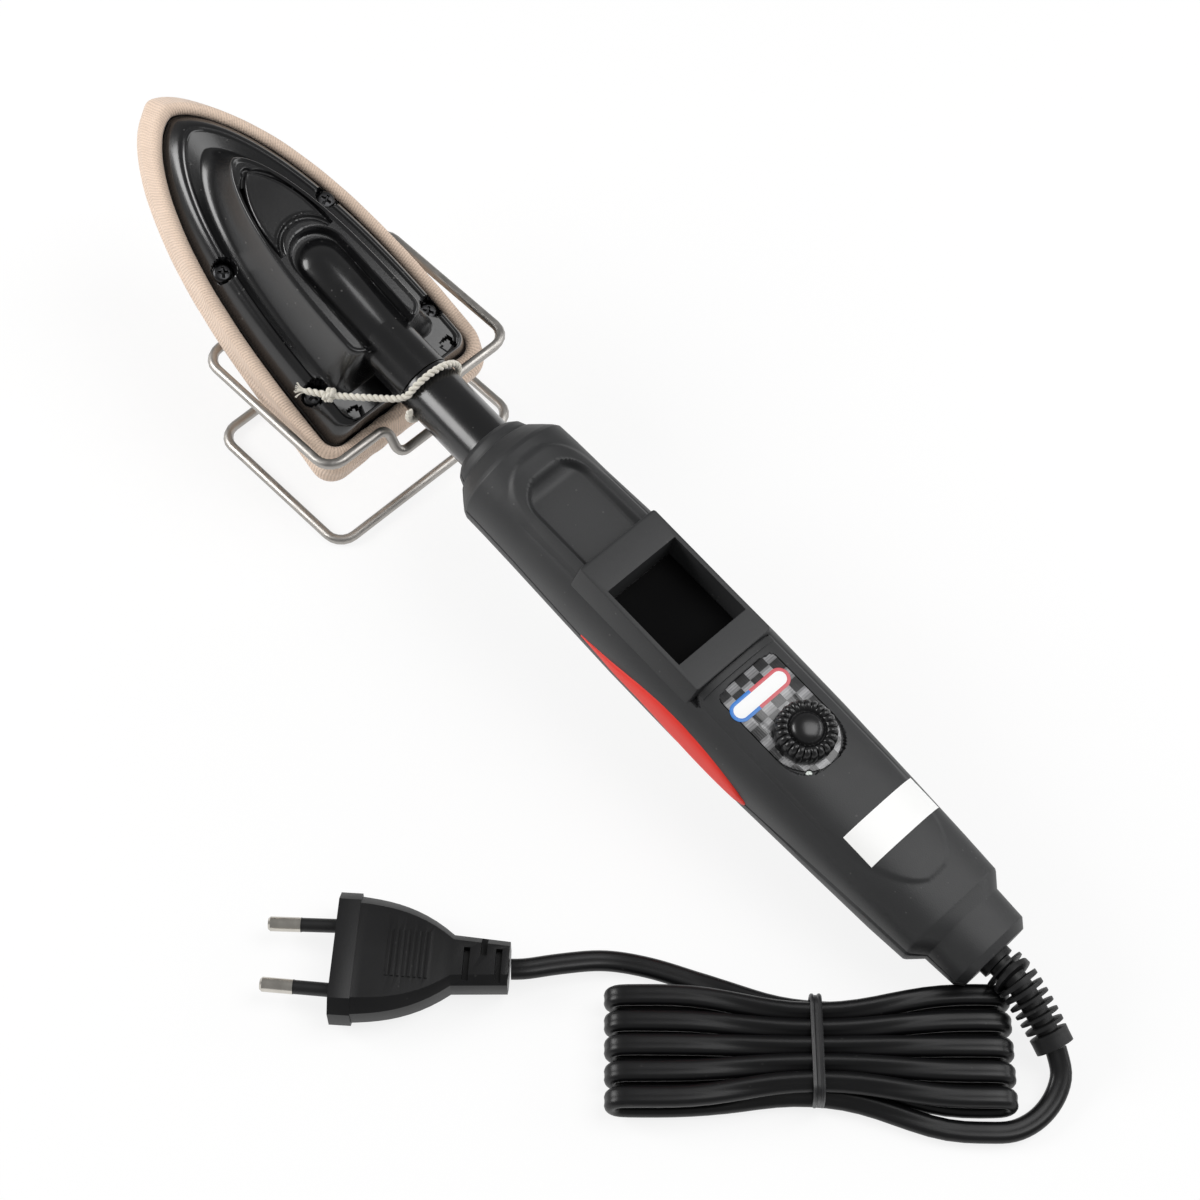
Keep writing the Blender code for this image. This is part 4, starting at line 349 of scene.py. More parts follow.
def moulded(name, colour, roughness, grain=2600.0, depth=0.03, coat=0.0, dust=0.05, spread=0.12,
            specular=0.5, tone=0.25, place=None):
    """Moulded plastic or rubber: grain in the bump, patchy tone and gloss, a little dust."""
    look, tree, bsdf = blank_look(name)
    where = in_frame(tree, place)
    surface = use_group(tree, "Moulded grain", ("Coordinates", where), ("Grain per metre", grain))
    specks = use_group(tree, "Dust and rubs", ("Coordinates", where), ("Smears", 0.25))
    low = tuple(c * (1.0 - tone) for c in colour)
    high = tuple(min(1.0, c * (1.0 + tone)) for c in colour)
    base = ramp(tree, surface.outputs["Tone"], [(0.3, low), (0.7, high)])
    veil = maths(tree, "MULTIPLY", specks.outputs[0], dust)
    tree.links.new(mix_colours(tree, veil, base, DUST_COLOUR), bsdf.inputs["Base Color"])
    gloss = map_range(tree, surface.outputs["Tone"], 0.25, 0.75, roughness - 0.5 * spread,
                      roughness + 0.5 * spread)
    tree.links.new(gloss, bsdf.inputs["Roughness"])
    raise_surface(tree, bsdf, surface.outputs["Height"], depth * MM)
    bsdf.inputs["Specular IOR Level"].default_value = specular
    bsdf.inputs["Coat Weight"].default_value = coat
    bsdf.inputs["Coat Roughness"].default_value = 0.12
    return look


def metal(name, colour, roughness, streaks=9000.0, depth=0.01, place=None):
    """Bare metal with fine streaks in tone, gloss and bump."""
    look, tree, bsdf = blank_look(name)
    surface = use_group(tree, "Drawn streaks", ("Coordinates", in_frame(tree, place)),
                        ("Streaks per metre", streaks))
    low = tuple(0.86 * c for c in colour)
    base = ramp(tree, surface.outputs["Tone"], [(0.3, low), (0.65, colour)])
    tree.links.new(base, bsdf.inputs["Base Color"])
    gloss = map_range(tree, surface.outputs["Tone"], 0.3, 0.7, roughness * 0.8, roughness * 1.3)
    tree.links.new(gloss, bsdf.inputs["Roughness"])
    raise_surface(tree, bsdf, surface.outputs["Height"], depth * MM)
    bsdf.inputs["Metallic"].default_value = 1.0
    return look


def cotton(name, colour, ribs=1150.0, depth=0.25, place=None, by_length=False):
    """Cotton: ribbed jersey or plain fibres, with painted shade in its furrows and a soft sheen."""
    look, tree, bsdf = blank_look(name)
    where = node(tree, "ShaderNodeUVMap", uv_map="lengths").outputs[0] if by_length else in_frame(tree, place)
    weave = use_group(tree, "Ribbed jersey", ("Coordinates", where), ("Ribs per metre", ribs))
    # Painted shade: the weave's low furrows are coloured darker than the cloth, as if in shade.
    dark = tuple(0.80 * c for c in colour)
    base = ramp(tree, weave.outputs["Height"], [(0.15, dark), (0.6, colour)])
    slow = ramp(tree, weave.outputs["Shade"], [(0.3, 0.93), (0.7, 1.0)])
    tree.links.new(mix_colours(tree, 1.0, base, slow, "MULTIPLY"), bsdf.inputs["Base Color"])
    raise_surface(tree, bsdf, weave.outputs["Height"], depth * MM)
    bsdf.inputs["Roughness"].default_value = 0.92
    bsdf.inputs["Sheen Weight"].default_value = 0.35
    bsdf.inputs["Sheen Roughness"].default_value = 0.4
    bsdf.inputs["Specular IOR Level"].default_value = 0.2
    return look


def soften(obj, width=0.0, angle=32.0, segments=2):
    """Round edges and smooth shading for a solid of the frame, as modifiers on top of its mesh."""
    weld = obj.modifiers.new("Joined corners", "WELD")
    weld.merge_threshold = 0.00001
    if width:
        mod = obj.modifiers.new("Round edges", "BEVEL")
        mod.width = width
        mod.segments = segments
        mod.limit_method = "ANGLE"
        mod.angle_limit = math.radians(angle)
        mod.use_clamp_overlap = True
        mod.miter_outer = "MITER_ARC"
    mod = obj.modifiers.new("Smooth faces", "NODES")
    mod.node_group = smooth_faces(angle)


def smooth_faces(degrees):
    """A geometry node group that shades faces smooth, with edges sharper than an angle kept."""
    name = "Smooth up to %d" % degrees
    if name in bpy.data.node_groups:
        return bpy.data.node_groups[name]
    group = bpy.data.node_groups.new(name, "GeometryNodeTree")
    group.interface.new_socket(name="Geometry", in_out="INPUT", socket_type="NodeSocketGeometry")
    group.interface.new_socket(name="Geometry", in_out="OUTPUT", socket_type="NodeSocketGeometry")
    entry = group.nodes.new("NodeGroupInput")
    leave = group.nodes.new("NodeGroupOutput")
    bend = group.nodes.new("GeometryNodeInputMeshEdgeAngle")
    sharp = node(group, "FunctionNodeCompare", [(0, bend.outputs[0]), (1, math.radians(degrees))],
                 data_type="FLOAT", operation="GREATER_THAN")
    faces = node(group, "GeometryNodeSetShadeSmooth", [(0, entry.outputs[0])], domain="FACE")
    edges = node(group, "GeometryNodeSetShadeSmooth", [
        (0, faces.outputs[0]), (1, sharp.outputs[0]), (2, False)], domain="EDGE")
    group.links.new(edges.outputs[0], leave.inputs[0])
    return group


def dress(name, look, width=0.0, angle=32.0, segments=2):
    """A solid of the frame that stays: its finish, and round edges where it shows."""
    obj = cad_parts[name]
    obj.data.materials.clear()
    obj.data.materials.append(look)
    soften(obj, width, angle, segments)
    return obj


# Sizes and colours that a user may change

class CoverSettings(PropertyGroup):
    colour: FloatVectorProperty(
        name="Cloth colour", description="Colour of the jersey cover", subtype="COLOR",
        default=(0.84, 0.66, 0.53), min=0.0, max=1.0)
    ribs: FloatProperty(
        name="Ribs per metre", description="Fineness of the jersey's ribs", default=1150.0, min=200.0,
        max=4000.0)
    roll: FloatProperty(
        name="Edge roll", description="Radius of the elastic roll round the housing", subtype="DISTANCE",
        unit="LENGTH", default=0.0015, min=0.0005, max=0.003)


class StringSettings(PropertyGroup):
    colour: FloatVectorProperty(
        name="String colour", description="Colour of the cotton draw string", subtype="COLOR",
        default=(0.83, 0.79, 0.70), min=0.0, max=1.0)
    plies: IntProperty(name="Plies", description="Yarns twisted together", default=2, min=2, max=4)
    lay: FloatProperty(
        name="Lay", description="Length of one full turn of the plies", subtype="DISTANCE", unit="LENGTH",
        default=0.0036, min=0.002, max=0.02)


class HandleSettings(PropertyGroup):
    colour: FloatVectorProperty(
        name="Shell colour", description="Colour of the handle's moulded shells", subtype="COLOR",
        default=(0.020, 0.0205, 0.0215), min=0.0, max=1.0)
    roughness: FloatProperty(
        name="Shell roughness", description="How matt the shells are", default=0.52, min=0.1, max=1.0)
    insert_colour: FloatVectorProperty(
        name="Insert colour", description="Colour of the soft grip inserts", subtype="COLOR",
        default=(0.80, 0.035, 0.022), min=0.0, max=1.0)


class HeadSettings(PropertyGroup):
    colour: FloatVectorProperty(
        name="Housing colour", description="Colour of the glossy head housing", subtype="COLOR",
        default=(0.004, 0.004, 0.0045), min=0.0, max=1.0)
    roughness: FloatProperty(
        name="Housing roughness", description="Gloss of the head housing", default=0.24, min=0.05, max=1.0)


class CordSettings(PropertyGroup):
    colour: FloatVectorProperty(
        name="Sheath colour", description="Colour of the mains cord", subtype="COLOR",
        default=(0.0035, 0.0035, 0.004), min=0.0, max=1.0)
    width: FloatProperty(
        name="Cord width", description="Width over both cores", subtype="DISTANCE", unit="LENGTH",
        default=0.0058, min=0.004, max=0.008)
    thickness: FloatProperty(
        name="Cord thickness", description="Thickness of one core", subtype="DISTANCE", unit="LENGTH",
        default=0.0036, min=0.002, max=0.006)


class StandSettings(PropertyGroup):
    colour: FloatVectorProperty(
        name="Wire colour", description="Colour of the bright wire", subtype="COLOR",
        default=(0.44, 0.42, 0.395), min=0.0, max=1.0)
    roughness: FloatProperty(
        name="Wire roughness", description="Gloss of the wire", default=0.40, min=0.05, max=1.0)


class StageSettings(PropertyGroup):
    key: FloatProperty(name="Key light", description="Power of the large lamp above", unit="POWER",
                       default=8.6, min=0.0, max=100.0)
    world: FloatProperty(name="World light", description="Strength of the light from all round",
                         default=0.30, min=0.0, max=2.0)
    floor: FloatProperty(name="Floor shadow", description="How much of the shadow the floor shows",
                         default=0.17, min=0.0, max=1.0)


class SealingIronSettings(PropertyGroup):
    cover: PointerProperty(type=CoverSettings, name="Cover", description="The cloth cover")
    string: PointerProperty(type=StringSettings, name="String", description="The draw string")
    handle: PointerProperty(type=HandleSettings, name="Handle", description="The handle's shells")
    head: PointerProperty(type=HeadSettings, name="Head", description="The head housing")
    cord: PointerProperty(type=CordSettings, name="Cord", description="The mains cord")
    stand: PointerProperty(type=StandSettings, name="Stand", description="The wire stand")
    stage: PointerProperty(type=StageSettings, name="Stage", description="Lights and floor")


def settings():
    return bpy.context.scene.sealing_iron


# Stage

CAMERA_PLACE = (0.312751, -0.281, 0.6816)
CAMERA_AIM = (0.010401, 0.0086, 0.0)
CAMERA_LENS = 82.65
LAMP_AIM = (0.0, -0.02, 0.03)
# Each lamp's name, place, width and length, share of the key light and tint
LAMPS = (
    ("overhead_softbox", (0.36, 0.38, 0.95), (0.68, 0.72), 0.64, (1.0, 1.0, 1.0)),
    ("side_softbox", (-0.72, -0.62, 0.60), (0.6, 0.5), 0.95, (1.0, 0.995, 0.99)),
    ("far_softbox", (0.55, 0.75, 0.35), (0.8, 0.2), 0.25, (0.99, 0.995, 1.0)))


class SEALINGIRON_OT_stage(Operator):
    """Camera, lamps and the pale floor"""
    bl_idname = "sealing_iron.stage"
    bl_label = "Stage"

    def execute(self, context):
        scene = context.scene
        scene.view_settings.view_transform = "Standard"
        self.place_camera(scene)
        self.light_world(scene)
        self.hang_lamps(scene)
        self.lay_floor(scene)
        return {"FINISHED"}

    def place_camera(self, scene):
        data = bpy.data.cameras.new("photo_camera")
        data.lens = CAMERA_LENS
        data.sensor_width = 36.0
        data.clip_start = 0.02
        camera = bpy.data.objects.new("photo_camera", data)
        scene.collection.objects.link(camera)
        camera.location = CAMERA_PLACE
        aim = Vector(CAMERA_AIM) - camera.location
        camera.rotation_euler = aim.to_track_quat("-Z", "Y").to_euler()
        scene.camera = camera

    def light_world(self, scene):
        """White where the camera sees it, and dimmer as light."""
        world = bpy.data.worlds.new("studio")
        world.use_nodes = True
        tree = world.node_tree
        ground = tree.nodes["Background"]
        ground.inputs["Color"].default_value = (1.0, 1.0, 1.0, 1.0)
        path = node(tree, "ShaderNodeLightPath")
        seen = maths(tree, "MAXIMUM", path.outputs["Is Camera Ray"], path.outputs["Is Transmission Ray"])
        strength = map_range(tree, seen, 0.0, 1.0, settings().stage.world)
        tree.links.new(strength, ground.inputs["Strength"])
        scene.world = world

    def hang_lamps(self, scene):
        for name, place, size, share, tint in LAMPS:
            data = bpy.data.lights.new(name, "AREA")
            data.shape = "RECTANGLE"
            data.size, data.size_y = size
            data.energy = share * settings().stage.key
            data.color = tint
            lamp = bpy.data.objects.new(name, data)
            scene.collection.objects.link(lamp)
            lamp.location = place
            aim = Vector(LAMP_AIM) - lamp.location
            lamp.rotation_euler = aim.to_track_quat("-Z", "Y").to_euler()

    def lay_floor(self, scene):
        """A white floor that shows a share of the shadow and nothing else."""
        bm = bmesh.new()
        bmesh.ops.create_grid(bm, x_segments=4, y_segments=4, size=6.0)
        mesh = bpy.data.meshes.new("floor")
        bm.to_mesh(mesh)
        bm.free()
        floor = bpy.data.objects.new("floor", mesh)
        scene.collection.objects.link(floor)
        floor.location.z = -0.0001
        look, tree, bsdf = blank_look("pale_floor")
        bsdf.inputs["Base Color"].default_value = (0.97, 0.97, 0.97, 1.0)
        bsdf.inputs["Roughness"].default_value = 0.9
        bsdf.inputs["Specular IOR Level"].default_value = 0.0
        glow = node(tree, "ShaderNodeEmission", [("Color", (1.0, 1.0, 1.0, 1.0)), ("Strength", 1.0)])
        path = node(tree, "ShaderNodeLightPath")
        seen = maths(tree, "MAXIMUM", path.outputs["Is Camera Ray"], path.outputs["Is Transmission Ray"])
        seen = maths(tree, "MAXIMUM", seen, path.outputs["Is Glossy Ray"])
        share = maths(tree, "MULTIPLY", seen, 1.0 - settings().stage.floor)
        mixed = node(tree, "ShaderNodeMixShader", [(0, share), (1, bsdf.outputs[0]), (2, glow.outputs[0])])
        tree.links.new(mixed.outputs[0], tree.nodes["Material Output"].inputs["Surface"])
        mesh.materials.append(look)


# Cord, tie, boot and plug

HANK_LOOPS = 5
HANK_LEFT = 2.6 * MM
HANK_RIGHT = 106.6 * MM
HANK_CENTRE = -142.0 * MM
HANK_MIDDLE = 6.15 * MM
LOOP_PITCH = 7.2 * MM
LOOP_RISE = 6.9 * MM
TIE_PLACE = 56.6 * MM
TIE_REACH = 34.0 * MM
TIED_PITCH = 4.75 * MM
TIED_RISE = 4.9 * MM
LAST_RUN_END = 26.0 * MM


def hank_route():
    """The hank's middle line in the table's frame: upright loops side by side, drawn in at the tie."""
    bend_steps, run_steps = 10, 22
    bend = 0.5 * LOOP_RISE
    run = HANK_RIGHT - HANK_LEFT - 2.0 * bend
    points, drawn = [], []

    def put(x, row, level):
        near = min(1.0, max(0.0, 1.1 - abs(x - TIE_PLACE) / TIE_REACH))
        draw = near * near * (3.0 - 2.0 * near)
        across = LOOP_PITCH + (TIED_PITCH - LOOP_PITCH) * draw
        up = LOOP_RISE + (TIED_RISE - LOOP_RISE) * draw
        y = HANK_CENTRE + (row - 0.5 * (HANK_LOOPS - 1)) * across
        points.append(Vector((x, y, HANK_MIDDLE + level * 0.5 * up)))
        drawn.append(draw)

    def crossing(t):
        """How far a lower run has moved over to the next row."""
        return max(0.0, min(1.0, 1.5 * t - 0.2))

    for turn in range(HANK_LOOPS):
        for i in range(0 if turn else 1, run_steps):
            t = i / run_steps
            put(HANK_RIGHT - bend - run * t, turn - 1.0 + crossing(t), -1.0)
        for i in range(bend_steps):
            angle = math.pi * (1.5 - i / bend_steps)
            put(HANK_LEFT + bend + bend * math.cos(angle), turn, math.sin(angle))
        for i in range(run_steps):
            put(HANK_LEFT + bend + run * i / run_steps, turn, 1.0)
        for i in range(bend_steps):
            angle = math.pi * (0.5 - i / bend_steps)
            put(HANK_RIGHT - bend + bend * math.cos(angle), turn, math.sin(angle))
    for i in range(run_steps + 1):
        x = HANK_RIGHT - bend - (HANK_RIGHT - bend - LAST_RUN_END) * i / run_steps
        put(x, HANK_LOOPS - 1 + crossing((HANK_RIGHT - bend - x) / run), -1.0)
    return points, drawn


# Given lines in the table's frame, in mm: the bent boot, the lead to the hank and the tail to the plug
BOOT_LINE = [(103.2, -120.2, 15.97), (106.45, -123.6, 15.5), (108.5, -126.0, 15.6), (110.3, -128.3, 14.7),
             (112.05, -130.7, 13.5), (113.7, -133.1, 12.3), (115.2, -135.5, 11.1), (116.7, -138.0, 9.75),
             (118.8, -141.8, 7.8)]
LEAD_LINE = [(118.93, -142.04, 7.68), (120.1, -145.9, 5.6), (120.3, -148.8, 4.4), (118.0, -154.4, 2.9),
             (113.2, -159.9, 2.4), (106.6, -163.3, 2.4)]
SLEEVE_START = -10.2 * MM
TAIL_LINE = [(13.3, -117.2, 3.0), (1.0, -115.2, 3.4), (-10.7, -116.8, 5.4), (-19.8, -118.9, 6.85),
             (-23.6, -119.05, 6.85)]


def cord_route():
    """The whole cord's middle line and how far each point is drawn in under the tie."""
    step = 1.6 * MM
    hank, drawn = hank_route()
    lead = [Vector(p) * MM for p in LEAD_LINE]
    tail = [Vector(p) * MM for p in TAIL_LINE]
    lead = smooth_path(lead + [hank[0], hank[1]], step)
    cut = min(range(len(lead)), key=lambda i: (lead[i] - hank[0]).length)
    lead = lead[:cut]
    tail = smooth_path([hank[-2], hank[-1]] + tail, step)
    cut = min(range(len(tail)), key=lambda i: (tail[i] - hank[-1]).length)
    tail = tail[cut + 1:]
    return lead + hank + tail, [0.0] * len(lead) + drawn + [0.0] * len(tail)


def laid_route():
    """The cord's route as it lies: a few strands a little high, low or aside, evened twice."""
    route, drawn = cord_route()
    sway, lowest, apart = 0.7 * MM, 2.15 * MM, 0.7 * MM
    placed = []
    for i, (p, draw) in enumerate(zip(route, drawn)):
        aside = noise.noise(Vector((i * 0.045, 3.1, 0.7)))
        up = noise.noise(Vector((i * 0.045, 9.4, 2.3)))
        free = sway * (1.0 - draw)
        placed.append(Vector((p.x, p.y + aside * free, max(p.z + up * 0.6 * free, lowest))))
    kept = [0]
    for i in range(1, len(placed) - 1):
        if (placed[i] - placed[kept[-1]]).length > apart and (placed[-1] - placed[i]).length > apart:
            kept.append(i)
    kept.append(len(placed) - 1)
    placed, drawn = [placed[i] for i in kept], [drawn[i] for i in kept]
    for _ in range(2):
        placed = [placed[0]] + [0.25 * a + 0.5 * b + 0.25 * c for a, b, c in
                                zip(placed, placed[1:], placed[2:])] + [placed[-1]]
    return placed, drawn


def ribbon_sides(path, drawn):
    """The wide direction of a flat cord: level on the table, turned up where rows are drawn in."""
    sides = []
    last = None
    for t, draw in zip(tangents(path), drawn):
        level = Vector((0.0, 0.0, 1.0)).cross(t)
        if level.length < 0.35:
            level = Vector((0.0, 1.0, 0.0))
        level.normalize()
        lift = Vector((0.0, 0.0, 1.0))
        if level.y < 0.0 and abs(level.y) > 0.6 and draw > 0.0:
            level = -level
        side = level * math.cos(draw * math.radians(45.0)) + lift * math.sin(draw * math.radians(45.0))
        side = (side - t * side.dot(t)).normalized()
        if last is not None and side.dot(last) < 0.0:
            side = -side
        sides.append(side)
        last = side
    return sides


def twin_profile(width, thick, count=22):
    """Two round cores side by side with a shallow groove between, as across and up."""
    radius = 0.5 * thick
    apart = 0.5 * width - radius
    groove = 0.80 * radius
    ring = []
    for i in range(count):
        angle = 2.0 * math.pi * i / count
        up = math.sin(angle)
        x = math.cos(angle) * (apart + radius)
        lobe = abs(x) - apart
        reach = math.sqrt(max(0.0, radius * radius - lobe * lobe))
        y = max(reach, groove if abs(x) < apart else 0.0)
        ring.append((x, math.copysign(y, up) if abs(up) > 1e-6 else 0.0))
    return ring


def sleeved_pin():
    """Nickel pins whose root, near the plug's body, is in a black sleeve."""
    nickel = (0.62, 0.59, 0.54)
    pin = metal("pin_nickel", nickel, 0.20, 3000.0, 0.002)
    tree = pin.node_tree
    bsdf = tree.nodes["Principled BSDF"]
    far = node(tree, "ShaderNodeSeparateXYZ", [(0, in_frame(tree, PLUG))])
    sleeve = maths(tree, "GREATER_THAN", far.outputs[0], SLEEVE_START)
    for name, bare, covered in (("Base Color", nickel + (1.0,), (0.006, 0.006, 0.0065, 1.0)),
                                ("Roughness", (0.2, 0.2, 0.2, 1.0), (0.42, 0.42, 0.42, 1.0)),
                                ("Metallic", (1.0,) * 4, (0.0, 0.0, 0.0, 1.0))):
        links = bsdf.inputs[name].links
        tree.links.new(mix_colours(tree, sleeve, links[0].from_socket if links else bare, covered),
                       bsdf.inputs[name])
    return pin


class SEALINGIRON_OT_cord(Operator):
    """The flat twin mains cord, its tie, the finned boot and the plug"""
    bl_idname = "sealing_iron.cord"
    bl_label = "Cord and plug"

    def execute(self, context):
        values = settings().cord
        sheath = moulded("cord_sheath", tuple(values.colour), 0.36, 1800.0, 0.012, 0.0, 0.02, 0.10, 0.36, 0.2)
        rubber = moulded("boot_surface", (0.005, 0.005, 0.0055), 0.50, 2400.0, 0.02, 0.0, 0.03, 0.12, 0.4)
        shell = moulded("plug_surface", (0.004, 0.004, 0.0045), 0.40, 2600.0, 0.02, 0.0, 0.03, 0.12, 0.34)
        pin = sleeved_pin()
        placed, drawn = laid_route()
        profile = twin_profile(values.width, values.thickness)
        rings = []
        for p, t, side in zip(placed, tangents(placed), ribbon_sides(placed, drawn)):
            lift = t.cross(side)
            rings.append([p + side * x + lift * y for x, y in profile])
        points, faces = bridged(rings)
        cord = mesh_piece("mains_cord", points, faces, sheath, "iron", TABLE, 50.0)
        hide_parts("cord_lead", "cord_hank", "cord_tail")

        tie = self.tie()
        boot = self.boot(rubber)
        dress("plug_body", shell, 0.5 * MM, 30.0, 3)
        dress("plug_pin_1", pin)
        dress("plug_pin_2", pin)
        return {"FINISHED"}

    def tie(self):
        """The narrow two-ridge tie round the hank's waist."""
        strap = moulded("tie_surface", (0.017, 0.017, 0.018), 0.36, 1500.0, 0.02, 0.0, 0.02)
        around = 2.1 * MM + 0.3 * MM
        rows = 2.5 * TIED_PITCH + around
        tall = 0.5 * TIED_RISE + around
        bend = 3.4 * MM
        centre = Vector((TIE_PLACE, HANK_CENTRE, HANK_MIDDLE))
        loop = []
        for cx, cz, start in ((rows - bend, tall - bend, 0.0), (bend - rows, tall - bend, 0.5),
                              (bend - rows, bend - tall, 1.0), (rows - bend, bend - tall, 1.5)):
            for i in range(9):
                angle = math.pi * (start + 0.5 * i / 8)
                loop.append((cx + bend * math.cos(angle), cz + bend * math.sin(angle)))
        profile = [(-1.6, 0.0), (-1.55, 0.5), (-1.15, 0.85), (-0.7, 0.8), (-0.35, 0.42), (0.35, 0.42),
                   (0.7, 0.8), (1.15, 0.85), (1.55, 0.5), (1.6, 0.0)]
        rings = []
        count = len(loop)
        for i, (y, z) in enumerate(loop):
            ay, az = loop[i - 1]
            by, bz = loop[(i + 1) % count]
            out = Vector((0.0, bz - az, ay - by)).normalized()
            base = centre + Vector((0.0, y, z))
            rings.append([base + Vector((x * MM, 0.0, 0.0)) + out * h * MM for x, h in profile])
        points, faces = bridged(rings, cyclic=True)
        tie = mesh_piece("hank_tie", points, faces, strap, "iron", TABLE, 40.0)
        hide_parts("cord_tie")
        return tie

    def boot(self, rubber):
        """The moulded boot: a slim core with thin fins down to an end flange."""
        path = smooth_path([Vector(p) * MM for p in BOOT_LINE], 0.25 * MM)
        total = path_length(path)
        start, flange, fins = 2.2 * MM, 3.2 * MM, 9
        pitch = (total - start - flange) / fins
        frames = carried_frames(path, Vector((0.0, 0.0, 1.0)))
        rings = []
        along = 0.0
        for i, p in enumerate(path):
            if i:
                along += (p - path[i - 1]).length
            share = along / total
            radius = (3.5 - 0.5 * share) * MM
            if along < start:
                radius = 5.0 * MM
            elif along > total - flange:
                radius = 5.3 * MM
            elif ((along - start) / pitch) % 1.0 > 0.56:
                radius = (6.3 - 1.1 * share) * MM
            side, lift = frames[i]
            ring = []
            for k in range(36):
                angle = 2.0 * math.pi * k / 36
                ring.append(p + (side * math.cos(angle) * 0.92 + lift * math.sin(angle)) * radius)
            rings.append(ring)
        points, faces = bridged(rings)
        boot = mesh_piece("finned_boot", points, faces, rubber, "iron", TABLE, 40.0)
        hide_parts("strain_relief_boot")
        return boot


# Head: housing, cover and string

def eased(low, high, value):
    """From 0 at low to 1 at high, with soft ends."""
    share = np.clip((value - low) / (high - low), 0.0, 1.0)
    return share * share * (3.0 - 2.0 * share)


SCREWS = ((-64.0, 19.3), (-64.0, -19.3), (-20.2, 21.9), (-20.2, -21.9))
SCREW_SEAT = -20.2
ROOT_TILT = -12.85
# The housing from its foot to the deck, in mm: tip, rear and half width of the outline, its height at the tip
# and at the rear, the steps to the next level and how they rise
HOUSING_LEVELS = (
    (110.2, 4.6, 26.9, -26.0, -26.0, 2, "even"), (109.8, 4.7, 26.8, -22.8, -22.8, 4, "round"),
    (109.0, 5.0, 26.2, -22.0, -21.9, 4, "even"), (108.0, 5.2, 25.4, -20.6, -18.8, 16, "round"),
    (103.0, 6.1, 22.0, -17.75, -11.75, 3, "even"), (102.8, 6.2, 21.8, -17.6, -11.6, 2, "round"),
    (102.0, 6.4, 21.2, -17.2, -11.2, 3, "even"), (101.3, 6.7, 20.7, -17.4, -11.5, 14, "even"),
    (95.8, 13.8, 18.3, -17.9, -12.0, 36, "cove"), (86.3, 18.4, 12.9, -5.2, 3.2, 4, "round"),
    (85.5, 19.0, 12.3, -4.4, 4.0, 4, "even"), (84.2, 19.8, 11.3, -4.75, 3.7, 54, "deck"))
# Levels from the shoulder up to the ledge, where the rear notches are cut, and the first level of the ridge
NOTCHED_LEVELS = range(4, 8)
RIDGE_LEVEL = 8


def valley_place(x, y):
    """How far a point lies inside the valley's edge, in mm."""
    front = 8.9 - np.hypot(x + 49.0, y)
    return np.where(x < -49.0, front, 8.9 - np.abs(y))


def valley_height(x, y, top):
    """The valley's floor with the neck's root growing out of it, in mm."""
    floor = -4.1 + 4.7 / 40.5 * (x + 57.5)
    base = top + (floor - top) * eased(0.0, 1.7, valley_place(x, y))
    nose = np.clip((-47.6 - x) / 8.8, 0.0, 1.0)
    reach = 8.6 * np.sqrt(1.0 - nose * nose)
    lift = 0.2281 * x + 3.0 * eased(-18.0, -47.0, x) - 0.5 * nose
    dome = np.where(np.abs(y) < reach, lift + np.sqrt(np.maximum(reach * reach - y * y, 0.0)), -40.0)
    blend = np.clip(0.5 + 0.5 * (dome - base) / 1.1, 0.0, 1.0)
    return base + (dome - base) * blend + 1.1 * blend * (1.0 - blend)


def deck_height(x, y):
    """The deck inside the ridge's edge: island with its channel and vents, valley and root, in mm."""
    top = -4.75 + 8.45 / 64.4 * (x + 84.2)
    side = np.abs(y)
    half = 8.4 * (1.0 - (1.0 - np.clip((x + 80.2) / 23.2, 0.0, 1.0)) ** 2.2) ** 0.75
    arc = 9.6 - np.hypot(x + 52.5, y)
    away = np.where(x < -80.2, np.hypot(-80.2 - x, side), np.maximum((side - half) * 0.85, arc))
    channel = eased(0.0, 0.8, away) * (1.0 - eased(1.2, 2.0, away)) * (side < 9.6) * (x < -54.5)
    slot = (away > 0.55) & (away < 1.45) & (y < 0.0) & ((np.abs(x + 75.2) < 2.3) | (np.abs(x + 65.6) < 3.7))
    slot = slot & (arc < -1.2)
    bead = np.exp(-((away + 0.25) / 0.3) ** 2) * (x < -54.5) * (side < 9.2)
    height = top + 0.12 * (away <= 0.0) + 0.2 * bead - 0.9 * channel - 2.2 * slot
    return np.where(valley_place(x, y) > 0.0, valley_height(x, y, top), height)


def level_points(number, t, steps):
    """One ring of the housing, a share of the way from a level to the next, in mm."""
    tip, rear, half, front, back, _, rise = HOUSING_LEVELS[number]
    if rise == "deck":
        edge = np.array(shoe_outline(tip * MM, rear * MM, half * MM, 3.0 * MM, steps)) / MM
        x = edge[:, 0] + (np.clip(edge[:, 0], -79.5, -20.5) - edge[:, 0]) * t
        y = edge[:, 1] * (1.0 - t)
        return x, y, deck_height(x, y)
    high = HOUSING_LEVELS[number + 1]
    lift = {"even": t, "round": math.sin(0.5 * math.pi * t), "cove": 0.25 * t + 0.75 * t * t}[rise]
    tip, rear, half = (a + (b - a) * t for a, b in zip((tip, rear, half), high[:3]))
    front, back = (a + (b - a) * lift for a, b in zip((front, back), high[3:5]))
    edge = np.array(shoe_outline(tip * MM, rear * MM, half * MM, 4.0 * MM, steps)) / MM
    x, y = edge[:, 0], edge[:, 1]
    z = front + (back - front) * (x + tip) / (tip - rear)
    if number >= RIDGE_LEVEL:
        low_way = (valley_place(x, y) > 0.0) & (x > -30.0)
        z = np.where(low_way, np.minimum(z, valley_height(x, y, z)), z)
    return x, y, z


